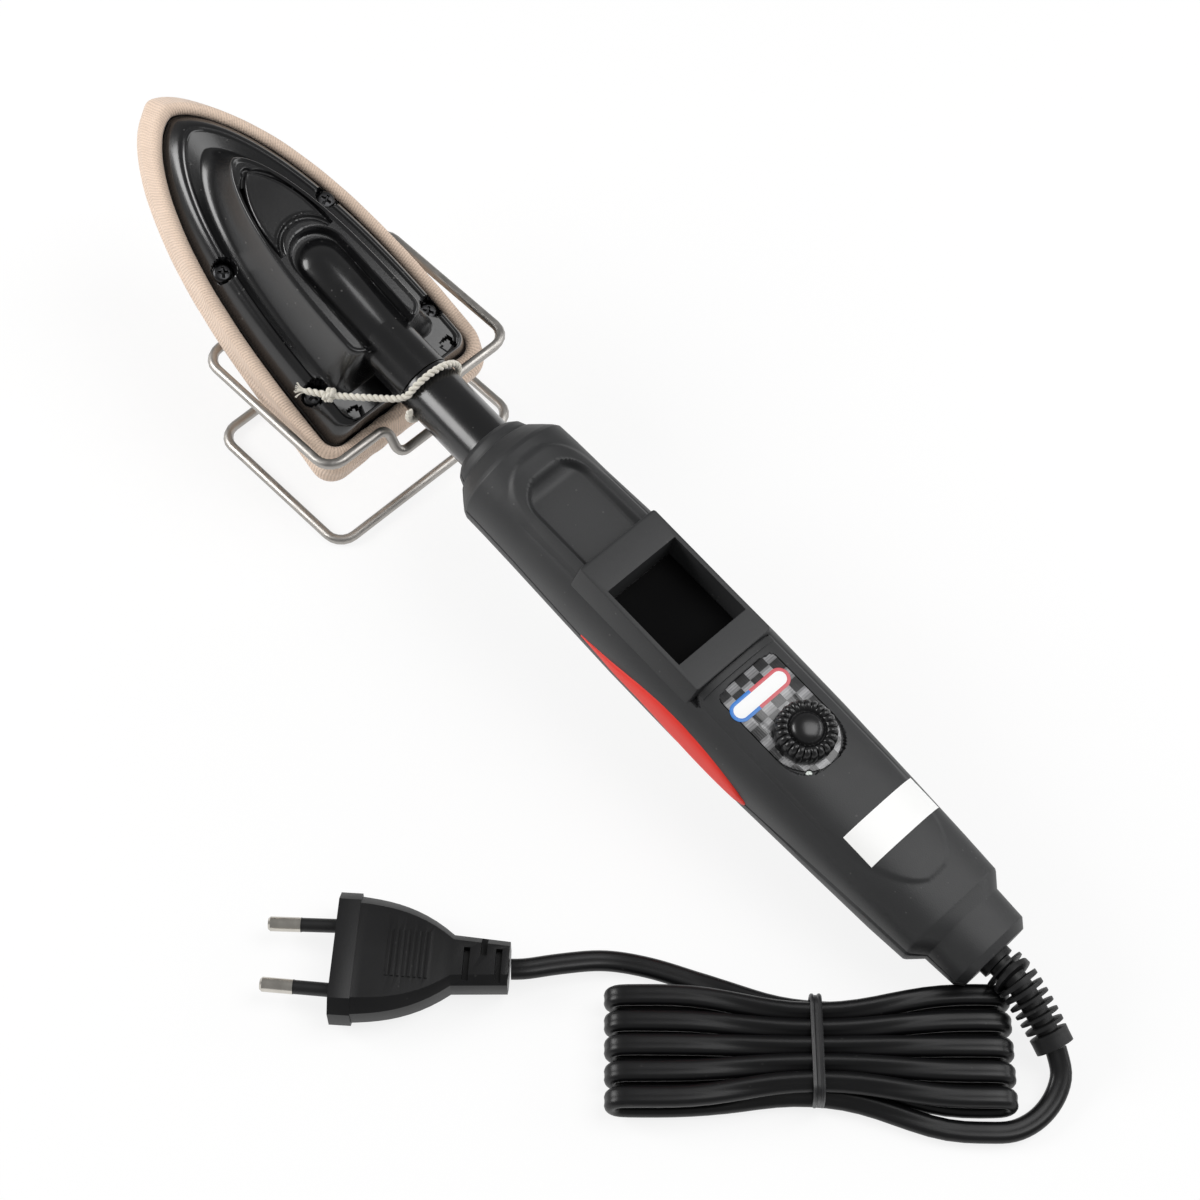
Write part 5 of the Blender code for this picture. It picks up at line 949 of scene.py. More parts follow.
def neck_root():
    """Rings of the root that the neck plugs into, from the deck on to the neck's joint."""
    turned = Matrix.Rotation(math.radians(ROOT_TILT), 4, "Y")
    angles = [2.0 * math.pi * k / 64 for k in range(64)]
    rings = []
    for along, radius in ((-3.0, 7.0), (-3.0, 8.5), (-3.1, 8.6), (-12.0, 8.6), (-24.0, 8.55), (-44.0, 8.3)):
        rings.append([turned @ Vector((along * MM, radius * MM * math.cos(a), radius * MM * math.sin(a)))
                      for a in angles])
    return rings


def head_housing(look):
    """The housing as moulded: skirt, slope to a crisp shoulder, ledge, cove, ridge, edge and deck."""
    rings = []
    for number, low in enumerate(HOUSING_LEVELS):
        for i in range(low[5]):
            x, y, z = level_points(number, i / low[5], 210)
            for sx, sy in SCREWS:
                well = 1.0 - eased(3.25, 3.5, np.hypot(x - sx, y - sy))
                z = np.where((well > 0.0) & (z > SCREW_SEAT), z + (SCREW_SEAT - z) * well, z)
            if number in NOTCHED_LEVELS:
                z = z - 1.5 * ((np.abs(x + 8.4) < 1.9) & (np.abs(np.abs(y) - 17.6) < 1.7))
            rings.append(np.stack([x, y, z], axis=1) * MM)
    count = len(rings[0])
    points, faces = bridged(rings, caps=(True, False))
    # The deck's last ring is flat on the middle line, so its two sides are joined across it
    base = len(points) - count
    for j in range(count // 2):
        face = tuple(dict.fromkeys(base + v for v in (j, j + 1, count - j - 1, (count - j) % count)))
        if len(face) > 2:
            faces.append(face)
    root_points, root_faces = bridged(neck_root())
    base = len(points)
    faces += [tuple(base + v for v in f) for f in root_faces]
    return mesh_piece("moulded_housing", list(points) + root_points, faces, look, "iron", HEAD, 38.0)


class SEALINGIRON_OT_head(Operator):
    """The glossy head housing, its screws, the neck and what lies inside"""
    bl_idname = "sealing_iron.head"
    bl_label = "Head housing"

    def execute(self, context):
        values = settings().head
        gloss = moulded("housing_gloss", tuple(values.colour), values.roughness, 1500.0, 0.012, 0.25, 0.10,
                        0.12, 0.5, 0.2, HEAD)
        housing = head_housing(gloss)
        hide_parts("head_housing")
        dress("neck_tube", gloss, 0.3 * MM, 30.0, 2)
        dark = metal("blackened_steel", (0.05, 0.05, 0.052), 0.34, 5000.0, depth=0.006, place=HEAD)
        for name in ("head_screw_1", "head_screw_2", "head_screw_3", "head_screw_4"):
            place = HEAD.inverted() @ Vector(np.array(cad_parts[name].bound_box).mean(axis=0))
            near = min(range(4), key=lambda k: math.dist(SCREWS[k], (place.x / MM, place.y / MM)))
            screw = screw_head(near, dark)
            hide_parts(name)
        dress("sole_plate", metal("sole_casting", (0.60, 0.61, 0.63), 0.34, 900.0, depth=0.02, place=HEAD),
              0.2 * MM)
        dress("heating_element", moulded("mica_sheet", (0.45, 0.36, 0.24), 0.45, 900.0, 0.02, place=HEAD))
        dress("insulation_pad", cotton("felt_fibre", (0.78, 0.76, 0.70), 700.0, 0.3, HEAD))
        dress("temperature_sensor", moulded("sensor_glass", (0.55, 0.25, 0.12), 0.15, 600.0, 0.01,
                                            place=HEAD))
        for i in (1, 2):
            dress("heater_lead_%d" % i, cotton("lead_sleeve_%d" % i, (0.80, 0.79, 0.74), 1600.0, 0.15))
        return {"FINISHED"}


COVER_MIDDLE = -54.0 * MM


class SEALINGIRON_OT_cover(Operator):
    """The jersey cover: under the sole, round its edge and up to an elastic roll"""
    bl_idname = "sealing_iron.cover"
    bl_label = "Cloth cover"

    def execute(self, context):
        values = settings().cover
        cloth = cotton("jersey", tuple(values.colour), values.ribs, 0.16, HEAD, by_length=True)
        foot = -31.5 * MM - 0.3 * MM - 1.5 * MM
        rim = -26.3 * MM + 4.6 * MM
        grow = 1.8 * MM
        levels = []

        def grown(amount, height, edge=(116.6, 0.2, 29.2)):
            tip, rear, half = (v * MM for v in edge)
            ring = shoe_outline(tip + amount, rear - amount, half + amount, 4.5 * MM + max(amount, 0.0))
            return [Vector((x, y, height)) for x, y in ring]

        collar = HOUSING_LEVELS[0][:3]
        middle = Vector((COVER_MIDDLE, 0.0, foot))
        for share in (0.02, 0.12, 0.3, 0.5, 0.7, 0.85, 0.94):
            levels.append([middle.lerp(p, share) for p in grown(grow - 2.6 * MM, foot)])
        for amount, height in ((-2.6, 0.0), (-1.3, 0.18), (-0.5, 0.75), (-0.1, 1.7), (0.0, 2.9), (0.0, 4.2),
                               (-0.05, 5.4), (-0.25, 6.6), (-0.6, 7.6)):
            levels.append(grown(grow + amount * MM, foot + height * MM))
        roll = values.roll
        for angle in (165.0, 140.0, 115.0, 90.0, 65.0, 40.0, 10.0, -25.0, -60.0, -80.0):
            a = math.radians(angle)
            out = 0.45 * MM + 1.15 * roll * (1.0 - math.cos(a))
            levels.append(grown(out, rim - 0.8 * MM + roll * math.sin(a), collar))
        self.gather(levels)
        points, faces = bridged(levels, caps=(True, False))
        cover = mesh_piece("jersey_cover", points, faces, cloth, "iron", HEAD, 60.0)
        lay_lengths(cover, levels)
        solid = cover.modifiers.new("Cloth thickness", "SOLIDIFY")
        solid.thickness = 0.5 * MM
        solid.offset = -1.0
        fine = cover.modifiers.new("Softer cloth", "SUBSURF")
        fine.levels = 1
        fine.render_levels = 1
        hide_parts("shoe_cover")
        return {"FINISHED"}

    def gather(self, levels):
        """Sags, the seam on the left flank and the tip, gathers by the string, a slack rear corner."""
        first, side, last = 5, 9, len(levels) - 1
        string = Vector((-1.0, -11.0)) * MM
        corner = Vector((-3.0, -27.0)) * MM
        for i in range(first, len(levels)):
            ring = levels[i]
            share = min(1.0, max(0.0, (i - side) / 7.0))
            low = 1.0 - share
            run = 0.0
            for k, p in enumerate(ring):
                if k:
                    run += (p - ring[k - 1]).length
                plan = Vector((p.x, p.y))
                wave = noise.noise(Vector((p.x * 120.0, p.y * 120.0, 0.31 * i)))
                soft = noise.noise(Vector((p.x * 26.0 + 3.0, p.y * 26.0, 2.0)))
                near = max(0.0, 1.0 - (plan - string).length / (13.0 * MM))
                slack = max(0.0, 1.0 - (plan - corner).length / (15.0 * MM))
                fold = math.sin(run / (1.15 * MM)) * near
                out = Vector((p.x - COVER_MIDDLE, 1.6 * p.y, 0.0)).normalized()
                rise = (0.10 * wave + 0.25 * soft) * share + 0.55 * fold * share + 0.9 * near * share
                rise -= 2.6 * slack * slack * low * (1.0 if p.y < 0.0 else 0.2)
                push = 0.12 * wave + 0.25 * soft + 0.35 * fold + 0.5 * slack * low
                if i in (side + 3, side + 4) and p.y < -4.0 * MM:
                    push -= 0.42
                if p.x < -100.0 * MM and side - 1 < i < last - 5:
                    push += 0.55 * math.exp(-((p.y + 1.0 * MM) / (1.1 * MM)) ** 2)
                ring[k] = p + out * push * MM + Vector((0.0, 0.0, rise * MM))


NECK_RADIUS = 8.6 * MM
STRING_RADIUS = 1.1 * MM
STRING_STEP = 0.35 * MM
HOUSING_IN_HANDLE = Matrix.Translation((-73.0 * MM, 0.0, 0.0)) @ Matrix.Rotation(math.radians(12.85), 4, "Y")


class Yarns:
    """Points and faces of yarns that are gathered into one mesh."""

    def __init__(self):
        self.points, self.faces = [], []

    def add(self, centre, thick, sides=8):
        """A round yarn along a path."""
        rings = []
        for c, (side, lift) in zip(centre, carried_frames(centre, Vector((0.0, 0.0, 1.0)))):
            rings.append([c + (side * math.cos(a) + lift * math.sin(a)) * thick
                          for a in (2.0 * math.pi * k / sides for k in range(sides))])
        points, faces = bridged(rings)
        base = len(self.points)
        self.points.extend(points)
        self.faces.extend([tuple(base + v for v in f) for f in faces])

    def twist(self, line, count, lay, offset, thick):
        """Plies that turn round a path, one full turn in each lay."""
        frames = carried_frames(line, Vector((0.0, 0.0, 1.0)))
        for ply in range(count):
            centre, run = [], 0.0
            for i, p in enumerate(line):
                if i:
                    run += (p - line[i - 1]).length
                angle = 2.0 * math.pi * (run / lay + ply / count)
                side, lift = frames[i]
                centre.append(p + (side * math.cos(angle) + lift * math.sin(angle)) * offset)
            self.add(centre, thick)


def string_path():
    """From the string's loose end over the housing and round the neck, in the handle's frame."""
    radius = NECK_RADIUS + 0.3 * MM + STRING_RADIUS
    over = [HOUSING_IN_HANDLE @ (Vector(p) * MM) for p in (
        (-22.0, -25.2, -11.6), (-16.0, -21.0, -8.2), (-9.0, -15.2, -3.2), (-3.6, -10.9, 1.6))]
    turns, start, end = 60, math.radians(150.0), math.radians(-190.0)
    loop = []
    for i in range(turns + 1):
        share = i / turns
        angle = start + (end - start) * share
        place = 1.0 * MM - 73.0 * MM + 2.9 * MM * (share - 0.5)
        loop.append(Vector((place, radius * math.cos(angle), radius * math.sin(angle))))
    path = smooth_path(over + [loop[0]], STRING_STEP)[:-1] + loop
    return evenly(path, round(path_length(path) / STRING_STEP))


def string_knot(path, plies, lay):
    """The string laid twice round itself, and the loose fibres past it."""
    yarns = Yarns()
    knot = HOUSING_IN_HANDLE @ (Vector((-16.5, -21.3, -8.3)) * MM)
    near = min(range(len(path)), key=lambda i: (path[i] - knot).length)
    side, lift = carried_frames(path, Vector((0.0, 0.0, 1.0)))[near]
    ahead = (path[near + 1] - path[near]).normalized()
    coil = []
    for i in range(60):
        angle = 2.0 * math.pi * 2.1 * i / 59
        coil.append(path[near] + ahead * (2.6 * MM * (i / 59 - 0.5))
                    + (side * math.cos(angle) + lift * math.sin(angle)) * 1.35 * MM)
    yarns.twist(coil, plies, 0.7 * lay, 0.40 * MM, 0.50 * MM)
    for k in range(16):
        turn = 2.0 * math.pi * k / 16
        wide = 0.9 + 0.8 * noise.noise(Vector((k, 0.4, 0.0)))
        spread = (side * math.cos(turn) + lift * math.sin(turn)) * wide
        fibre = [path[0] - ahead * t * 2.6 * MM + spread * (0.4 + 1.3 * t * t) * MM
                 for t in (0.0, 0.25, 0.5, 0.75, 1.0)]
        yarns.add(smooth_path(fibre, 0.3 * MM), 0.14 * MM, 5)
    return yarns


class SEALINGIRON_OT_string(Operator):
    """The twisted cotton draw string: knotted over the housing, then once round the neck"""
    bl_idname = "sealing_iron.string"
    bl_label = "Draw string"

    def execute(self, context):
        values = settings().string
        look = cotton("string_cotton", tuple(values.colour), 5200.0, 0.06)
        path = string_path()
        yarns = Yarns()
        yarns.twist(path, values.plies, values.lay, 0.50 * MM, 0.60 * MM)
        knot = string_knot(path, values.plies, values.lay)
        tied = mesh_piece("string_knot", knot.points, knot.faces, look, "iron", HANDLE, 60.0)
        string = mesh_piece("cotton_string", yarns.points, yarns.faces, look, "iron", HANDLE, 60.0)
        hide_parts("draw_string")
        return {"FINISHED"}


class SEALINGIRON_OT_stand(Operator):
    """The bright wire stand"""
    bl_idname = "sealing_iron.stand"
    bl_label = "Wire stand"

    def execute(self, context):
        values = settings().stand
        wire = metal("drawn_wire", tuple(values.colour), values.roughness, 2500.0, 0.0004)
        dress("wire_stand", wire, 0.0, 50.0)
        return {"FINISHED"}


# Handle and controls, all sizes in mm

HANDLE_FRONT = -49.0
HANDLE_REAR = 148.3
HALF_WIDTH = 19.4
CROWN = 19.2
KEEL = 17.2
# Along the handle: share, half width, middle, crown, keel, power above, power below
HANDLE_SHARES = (
    (0, .510, 0, .516, .576, 2, 2), (.0071, .593, 0, .599, .669, 2, 2), (.0182, .639, 0, .646, .721, 2, 2),
    (.0220, .644, 0, .651, .727, 2, 2), (.0243, .701, 0, .708, .791, 2, 2),
    (.0380, .814, .015, .833, .895, 2.1, 2), (.0490, .897, .026, .922, .965, 2.2, 2),
    (.0558, .928, .042, .950, .988, 2.3, 2), (.0900, .930, .045, .945, .975, 2.5, 2),
    (.1500, .936, .052, .950, .945, 2.6, 2.1), (.2484, .969, .063, .975, .907, 2.8, 2.1),
    (.3600, .995, .078, .995, .872, 3, 2.2), (.4815, 1, .094, 1, .849, 3, 2.2),
    (.6183, .979, .115, 1, .837, 3, 2.2), (.7603, .928, .146, .982, .826, 3, 2.1),
    (.8560, .886, .177, .971, .826, 3, 2.1), (.9174, .850, .208, .960, .820, 3, 2),
    (.9210, .832, .220, .950, .790, 2.9, 2), (.9387, .665, .286, .911, .436, 2.6, 2.1),
    (.9880, .640, .302, .896, .384, 2.6, 2.1), (1, .546, .302, .802, .279, 2.5, 2.1))
# Along the handle: place and height of the line where the shells part
PARTING = ((-49.0, 1.2), (-35.0, 1.3), (0.0, 1.0), (10.7, 0.8), (74.0, 1.6), (87.0, 3.0), (102.0, 4.5),
           (117.0, 5.5), (132.0, 5.9), (148.3, 5.7))


def parting_at(x):
    return float(np.interp(x, *zip(*PARTING)))


def handle_station(x):
    """Half width, middle, crown, keel and the two powers at a place along the handle."""
    table = np.array(HANDLE_SHARES)
    share = (x - HANDLE_FRONT) / (HANDLE_REAR - HANDLE_FRONT)
    row = [float(np.interp(share, table[:, 0], table[:, k])) for k in range(1, 7)]
    return HALF_WIDTH * row[0], CROWN * row[1], CROWN * row[2], -KEEL * row[3], row[4], row[5]


def crown_at(x, y):
    """Height of the bare shell's upper side at a place."""
    half, middle, crown, _, power, _ = handle_station(x)
    return middle + (crown - middle) * np.maximum(0.0, 1.0 - (np.abs(y) / half) ** power) ** (1.0 / power)


def side_at(x, z):
    """Half width of the bare shell at a height."""
    half, middle, crown, keel, power, low = handle_station(x)
    reach, own = (crown - middle, power) if z >= middle else (middle - keel, low)
    return half * max(0.0, 1.0 - (abs(z - middle) / reach) ** own) ** (1.0 / own)


# Long rounded outlines on the top: front, rear, half width, length of the front and the rear end
TONGUE = (-35.0, 123.5, 13.9, 14.0, 28.0)
THUMB = (-29.0, 20.0, 11.0, 9.0, 0.01)
PANEL = (49.6, 83.6, 10.6, 2.6, 11.0)
THUMB_FLOOR = 15.0
PANEL_FLOOR = 18.2
SEAT_FLOOR = 14.2
BAY_FLOOR = 9.0


def inside_slot(x, y, outline, power=2.2):
    """Depth inside a long rounded outline with full ends of their own lengths."""
    front, rear, half, nose, tail = outline
    behind = np.where(x > rear - tail, (x - rear + tail) / tail, 0.0)
    run = np.where(x < front + nose, (front + nose - x) / nose, behind)
    width = half * np.maximum(0.0, 1.0 - np.clip(run, 0.0, 1.0) ** power) ** (1.0 / power)
    return np.minimum(np.minimum(width - np.abs(y), x - front), rear - x)


def block(x, y, front, rear, half):
    return (x > front) & (x < rear) & (np.abs(y) < half)


def top_relief(x, y, z):
    """Tongue, thumb recess, bezel seat, cross bar and panel recess on the upper shell."""
    tongue = inside_slot(x, y, TONGUE)
    ends = 1.0 - eased(-24.0, -14.0, x) + eased(92.0, 102.0, x)
    z = z + 0.55 * eased(-0.1 - 0.3 * ends, 0.6 + 1.0 * ends, tongue)
    z = z - 0.16 * (1.0 - ends) * eased(-0.9, -0.45, tongue) * (1.0 - eased(-0.45, -0.1, tongue))
    thumb = inside_slot(x, y, THUMB)
    slope = 1.0 - np.sin(0.5 * math.pi * np.clip((x - THUMB[0]) / 5.6, 0, 1))
    floor = np.where(x < THUMB[0] + 5.6, THUMB_FLOOR + (z - THUMB_FLOOR) * slope, THUMB_FLOOR)
    z = np.where((thumb > 0.0) & (x < 2.0), z + (np.minimum(floor, z) - z) * eased(0.0, 2.3, thumb), z)
    z = z + 0.35 * block(x, y, 46.3, 48.2, 13.4) - 0.7 * block(x, y, 45.7, 46.3, 13.6)
    hole = (x > 45.9) & (x < 48.6) & (np.abs(y + 14.6) < 0.55 * (48.6 - x))
    z = z - 1.6 * hole
    panel = inside_slot(x, y, PANEL, 2.4)
    z = np.where(panel > 0.0, np.minimum(z, z + (PANEL_FLOOR - z) * eased(0.0, 0.3, panel)), z)
    z = np.where(block(x, y, 0.2, 45.6, 16.2), np.minimum(z, SEAT_FLOOR), z)
    return np.where(block(x, y, 9.4, 37.7, 12.8), BAY_FLOOR, z)


def round_point(station, angle):
    """A point of the bare shell's outline at an angle from its side, as across and up."""
    half, middle, crown, keel, power, low = station
    c, q = max(0.0, math.cos(angle)), math.sin(angle)
    own, reach = (power, crown - middle) if q >= 0.0 else (low, middle - keel)
    return half * c ** (2.0 / own), middle + math.copysign(abs(q) ** (2.0 / own), q) * reach


def shell_stations():
    """Places along the handle, and across its top as shares of the top's half width."""
    top = 14.8
    marks = [HANDLE_FRONT + (HANDLE_REAR - HANDLE_FRONT) * row[0] for row in HANDLE_SHARES]
    marks += [0.1, 0.3, 45.5, 45.7, 46.2, 46.4, 48.1, 48.3, 49.6, 49.9, 83.3, 83.6, 9.3, 9.5, 37.6, 37.8]
    along = np.unique(np.round(np.concatenate([np.arange(HANDLE_FRONT, HANDLE_REAR, 0.62), marks]), 3))
    column = np.unique(np.round(np.concatenate([
        np.linspace(0.0, top, 44), np.arange(10.3, 11.3, 0.14), np.arange(13.3, 14.7, 0.12)]), 3)) / top
    return along, np.concatenate([-column[::-1], column[1:]]), top


def upper_ring(x, station, across, top, part):
    """The upper shell's outline from its left to its right edge, and the angle where it parts."""
    half, middle, crown, keel, power, low = station
    wide = min(top, 0.87 * half)
    y = across * wide
    z = top_relief(np.full_like(y, x), y, crown_at(x, y))
    start = math.acos((wide / half) ** (0.5 * power))
    if part < middle:
        end = -math.asin(min(1.0, ((middle - part) / (middle - keel)) ** (0.5 * low)))
    else:
        end = math.asin(min(1.0, ((part - middle) / (crown - middle)) ** (0.5 * power)))
    flank = [round_point(station, start + (end - start) * (1.0 - (1.0 - t) ** 1.5))
             for t in np.linspace(0.0, 1.0, 27)[1:]]
    edge_y, edge_z = flank[-1]
    flank += [(edge_y - 0.06, edge_z), (edge_y - 0.7, edge_z + 0.05)]
    ring = [(-a, b) for a, b in reversed(flank)] + list(zip(y, z)) + flank
    return ring, edge_y, end


def lower_ring(station, part, edge_y, end):
    """The lower shell's outline, in even runs below the groove where the shells part."""
    belly = [(edge_y - 0.75, part + 0.1), (edge_y - 0.7, part - 0.5)]
    for t in np.linspace(0.0, 1.0, 34):
        point = round_point(station, end + (-0.5 * math.pi - end) * t)
        if point[1] < part - 0.5:
            belly.append(point)
    if len(belly) < 4:
        belly = belly[:2] + [(edge_y - 0.1, part - 0.26), (0.0, part - 0.28)]
    data = np.array(belly[2:])
    runs = np.concatenate(([0.0], np.cumsum(np.linalg.norm(np.diff(data, axis=0), axis=1))))
    even = [tuple(float(np.interp(m, runs, data[:, k])) for k in (0, 1))
            for m in np.linspace(0.0, runs[-1], 34)]
    belly = belly[:2] + even
    return [(-a, b) for a, b in belly] + list(reversed(belly[:-1]))


def handle_shells(look):
    """Both moulded shells, closed at their ends, with a fine groove where they part."""
    along, across, top = shell_stations()
    upper, lower = [], []
    for x in along:
        station = handle_station(x)
        part = parting_at(x)
        ring, edge_y, end = upper_ring(x, station, across, top, part)
        upper.append([Vector((x, a, b)) * MM for a, b in ring])
        lower.append([Vector((x, a, b)) * MM for a, b in lower_ring(station, part, edge_y, end)])
    shells = []
    for name, rings in (("handle_shell_above", upper), ("handle_shell_below", lower)):
        points, faces = bridged(rings)
        if name.endswith("below"):
            faces = [tuple(reversed(face)) for face in faces]
        shells.append(mesh_piece(name, points, faces, look, "iron", HANDLE, 34.0))
    return shells


# Along an insert: place, its lower and its upper edge
LENS = ((9.7, 0.3, 1.3), (16, 0.2, 2.9), (24, 0.1, 5.2), (32, 0.0, 7.4), (40, -0.5, 8.8), (48, -1.6, 9.1),
        (56, -2.9, 8.3), (62, -3.2, 7.1), (68, -2.4, 5.3), (72, -0.9, 3.7), (74.2, 0.6, 2.2))


def lens_edges(x):
    """Lower and upper edge of an insert, evened over 4 mm, and as in the table at its two ends."""
    table = np.array(LENS)
    front, rear = table[0, 0], table[-1, 0]
    if x in (front, rear):
        return tuple(float(v) for v in table[0 if x == front else -1, 1:])
    around = np.clip(x + np.array((-2.0, -1.0, 0.0, 1.0, 2.0)), front, rear)
    return tuple(float(np.mean(np.interp(around, table[:, 0], table[:, k]))) for k in (1, 2))


def grip_lens(sign, look):
    """The soft red insert: a long lens on the handle's flank, proud and rounded at its edge."""
    front, rear, count = LENS[0][0], LENS[-1][0], 130
    rings = []
    for i in range(count):
        x = rear if i == count - 1 else front + (rear - front) * i / (count - 1)
        low, high = lens_edges(x)
        swell = min(1.0, 0.12 * (high - low))
        ring = []
        for u in (k / 16 for k in range(17)):
            z = low + (high - low) * u
            rise = 0.85 * min(1.0, 1.6 * swell) * (1.0 - (2.0 * u - 1.0) ** 4) ** 0.7 - 0.12
            ring.append(Vector((x, sign * (side_at(x, z) + rise), z)) * MM)
        for u in (1.0, 0.75, 0.5, 0.25, 0.0):
            z = low + (high - low) * u
            ring.append(Vector((x, sign * (side_at(x, z) - 0.8), z)) * MM)
        rings.append(ring)
    points, faces = bridged(rings)
    if sign > 0:
        faces = [tuple(reversed(face)) for face in faces]
    name = "grip_lens_left" if sign < 0 else "grip_lens_right"
    return mesh_piece(name, points, faces, look, "iron", HANDLE, 50.0)


# Inner piece, its finish, colour, roughness, grain per metre, grain depth and edge width in mm
ELECTRONICS = (
    ("circuit_board", "board_green", (0.03, 0.16, 0.07), 0.35, 1500.0, 0.01, 0.0),
    ("filter_capacitor", "capacitor_shell", (0.78, 0.58, 0.08), 0.3, 900.0, 0.01, 0.2),
    ("triac", "triac_epoxy", (0.02, 0.02, 0.02), 0.6, 2000.0, 0.02, 0.15),
    ("terminal_block", "terminal_shell", (0.08, 0.32, 0.14), 0.45, 1500.0, 0.02, 0.2),
    ("cord_clamp", "clamp_nylon", (0.6, 0.6, 0.58), 0.5, 1500.0, 0.02, 0.2),
    ("potentiometer", "pot_shell", (0.03, 0.10, 0.06), 0.5, 1500.0, 0.02, 0.2))


class SEALINGIRON_OT_handle(Operator):
    """The handle's shells, bezel, inserts and the electronics inside"""
    bl_idname = "sealing_iron.handle"
    bl_label = "Handle"

    def execute(self, context):
        values = settings().handle
        matt = moulded("handle_shell", tuple(values.colour), values.roughness, 2600.0, 0.035, 0.0, 0.05,
                       0.10, 0.5, 0.12, HANDLE)
        # Painted shade: the bay's floor is made near black, rough and low in specular, much darker than the
        # shell's own plastic, for the shade inside the deep bay.
        bay_shade_black = moulded("bay_floor_painted_shade", (0.0012, 0.0012, 0.0014), 0.8, 2200.0, 0.01, 0.0, 0.0, 0.1, 0.12,
                       place=HANDLE)
        grip = moulded("grip_rubber", tuple(values.insert_colour), 0.50, 2200.0, 0.02, 0.0, 0.03, 0.1, 0.4,
                       0.06, HANDLE)
        above, below = handle_shells(matt)
        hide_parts("handle_upper_shell")
        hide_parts("handle_lower_shell")
        dress("display_bezel", matt, 0.4 * MM, 28.0, 3)
        dress("bay_floor", bay_shade_black)
        for sign, name in ((-1.0, "side_insert_left"), (1.0, "side_insert_right")):
            lens = grip_lens(sign, grip)
            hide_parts(name)
        self.label()
        zinc = metal("zinc_steel", (0.72, 0.73, 0.74), 0.32, 6000.0, depth=0.006, place=HANDLE)
        for name in ("case_screw_1", "case_screw_2"):
            dress(name, zinc, 0.12 * MM)
        for name, finish, colour, roughness, grain, depth, width in ELECTRONICS:
            dress(name, moulded(finish, colour, roughness, grain, depth, place=HANDLE), width * MM)
        return {"FINISHED"}

    def label(self):
        """A blank white paper label laid over the tongue, behind the panel."""
        paper = moulded("label_paper", (0.95, 0.95, 0.94), 0.42, 1800.0, 0.006, 0.0, 0.0, 0.08, 0.45, 0.015,
                        HANDLE)
        front, length, left, right = 99.8, 10.7, -11.8, 14.6
        rings = []
        for i in range(13):
            x = front + length * i / 12
            y = np.linspace(left, right, 40)
            z = crown_at(x, y) + 0.55
            rings.append([Vector((x, a, b + 0.12)) * MM for a, b in zip(y, z)]
                         + [Vector((x, a, b - 0.1)) * MM for a, b in zip(y[::-1], z[::-1])])
        points, faces = bridged(rings)
        mesh_piece("blank_label", points, faces, paper, "iron", HANDLE, 40.0)


def fluted_knob(look):
    """The knob: round flutes over its rim, a valley inside them and a smooth dome."""
    profile = ((0.0, 0.0, 0.0), (7.9, 0.0, 0.0), (8.15, 0.2, 0.3), (8.4, 1.0, 1.0), (8.5, 2.6, 1.0),
               (8.45, 3.8, 1.0), (8.2, 4.7, 1.0), (7.75, 5.35, 1.0), (7.2, 5.75, 1.0), (6.6, 5.95, 1.0),
               (6.0, 5.9, 1.0), (5.5, 5.65, 0.9), (5.15, 5.3, 0.7), (4.9, 4.95, 0.35), (4.75, 4.9, 0.0),
               (4.6, 5.15, 0.0), (4.3, 5.7, 0.0), (3.8, 6.2, 0.0), (3.0, 6.6, 0.0), (2.0, 6.85, 0.0),
               (1.0, 6.97, 0.0), (0.25, 7.0, 0.0))
    count, lobes, place, foot = 288, 24, 72.9, 18.85
    rings = []
    for radius, height, share in profile:
        ring = []
        for k in range(count):
            angle = 2.0 * math.pi * k / count
            lobe = abs(math.cos(0.5 * lobes * angle)) ** 0.6 - 0.75
            out = radius + 0.45 * lobe * share
            rise = height + 0.5 * lobe * share * min(1.0, max(0.0, (height - 3.0) / 2.0))
            ring.append(Vector((place + out * math.cos(angle), out * math.sin(angle), foot + rise)) * MM)
        rings.append(ring)
    points, faces = bridged(rings)
    return mesh_piece("fluted_knob", points, faces, look, "knob", HANDLE, 60.0)


def screw_head(number, look):
    """A pan head with a cross recess, turned a little from its neighbours."""
    sx, sy = SCREWS[number]
    turn = (0.35, 1.0, 0.7, 0.1)[number]
    levels = [(2.85, -0.3), (2.9, 0.0), (2.9, 0.75), (2.8, 1.15), (2.5, 1.5), (2.1, 1.72)]
    levels += [(2.1 * (1.0 - t), 1.72 + 0.23 * (1.0 - (1.0 - t) ** 2)) for t in np.linspace(0.05, 0.98, 26)]

    def fading(value, start, length):
        return 1.0 - min(1.0, max(0.0, (value - start) / length))

    rings = []
    for radius, height in levels:
        ring = []
        for angle in (2.0 * math.pi * k / 96 for k in range(96)):
            x, y = radius * math.cos(angle), radius * math.sin(angle)
            u = abs(x * math.cos(turn) + y * math.sin(turn))
            v = abs(y * math.cos(turn) - x * math.sin(turn))
            arm, thin = max(u, v), min(u, v)
            cut = fading(thin, 0.30, 0.12) * fading(arm, 1.45, 0.25)
            depth = (1.15 - 0.35 * arm) * max(cut, fading(radius, 0.6, 0.2))
            ring.append(Vector((sx + x, sy + y, SCREW_SEAT + height - max(0.0, depth))) * MM)
        rings.append(ring)
    points, faces = bridged(rings)
    return mesh_piece("pan_screw_%d" % (number + 1), points, faces, look, "iron", HEAD, 42.0)


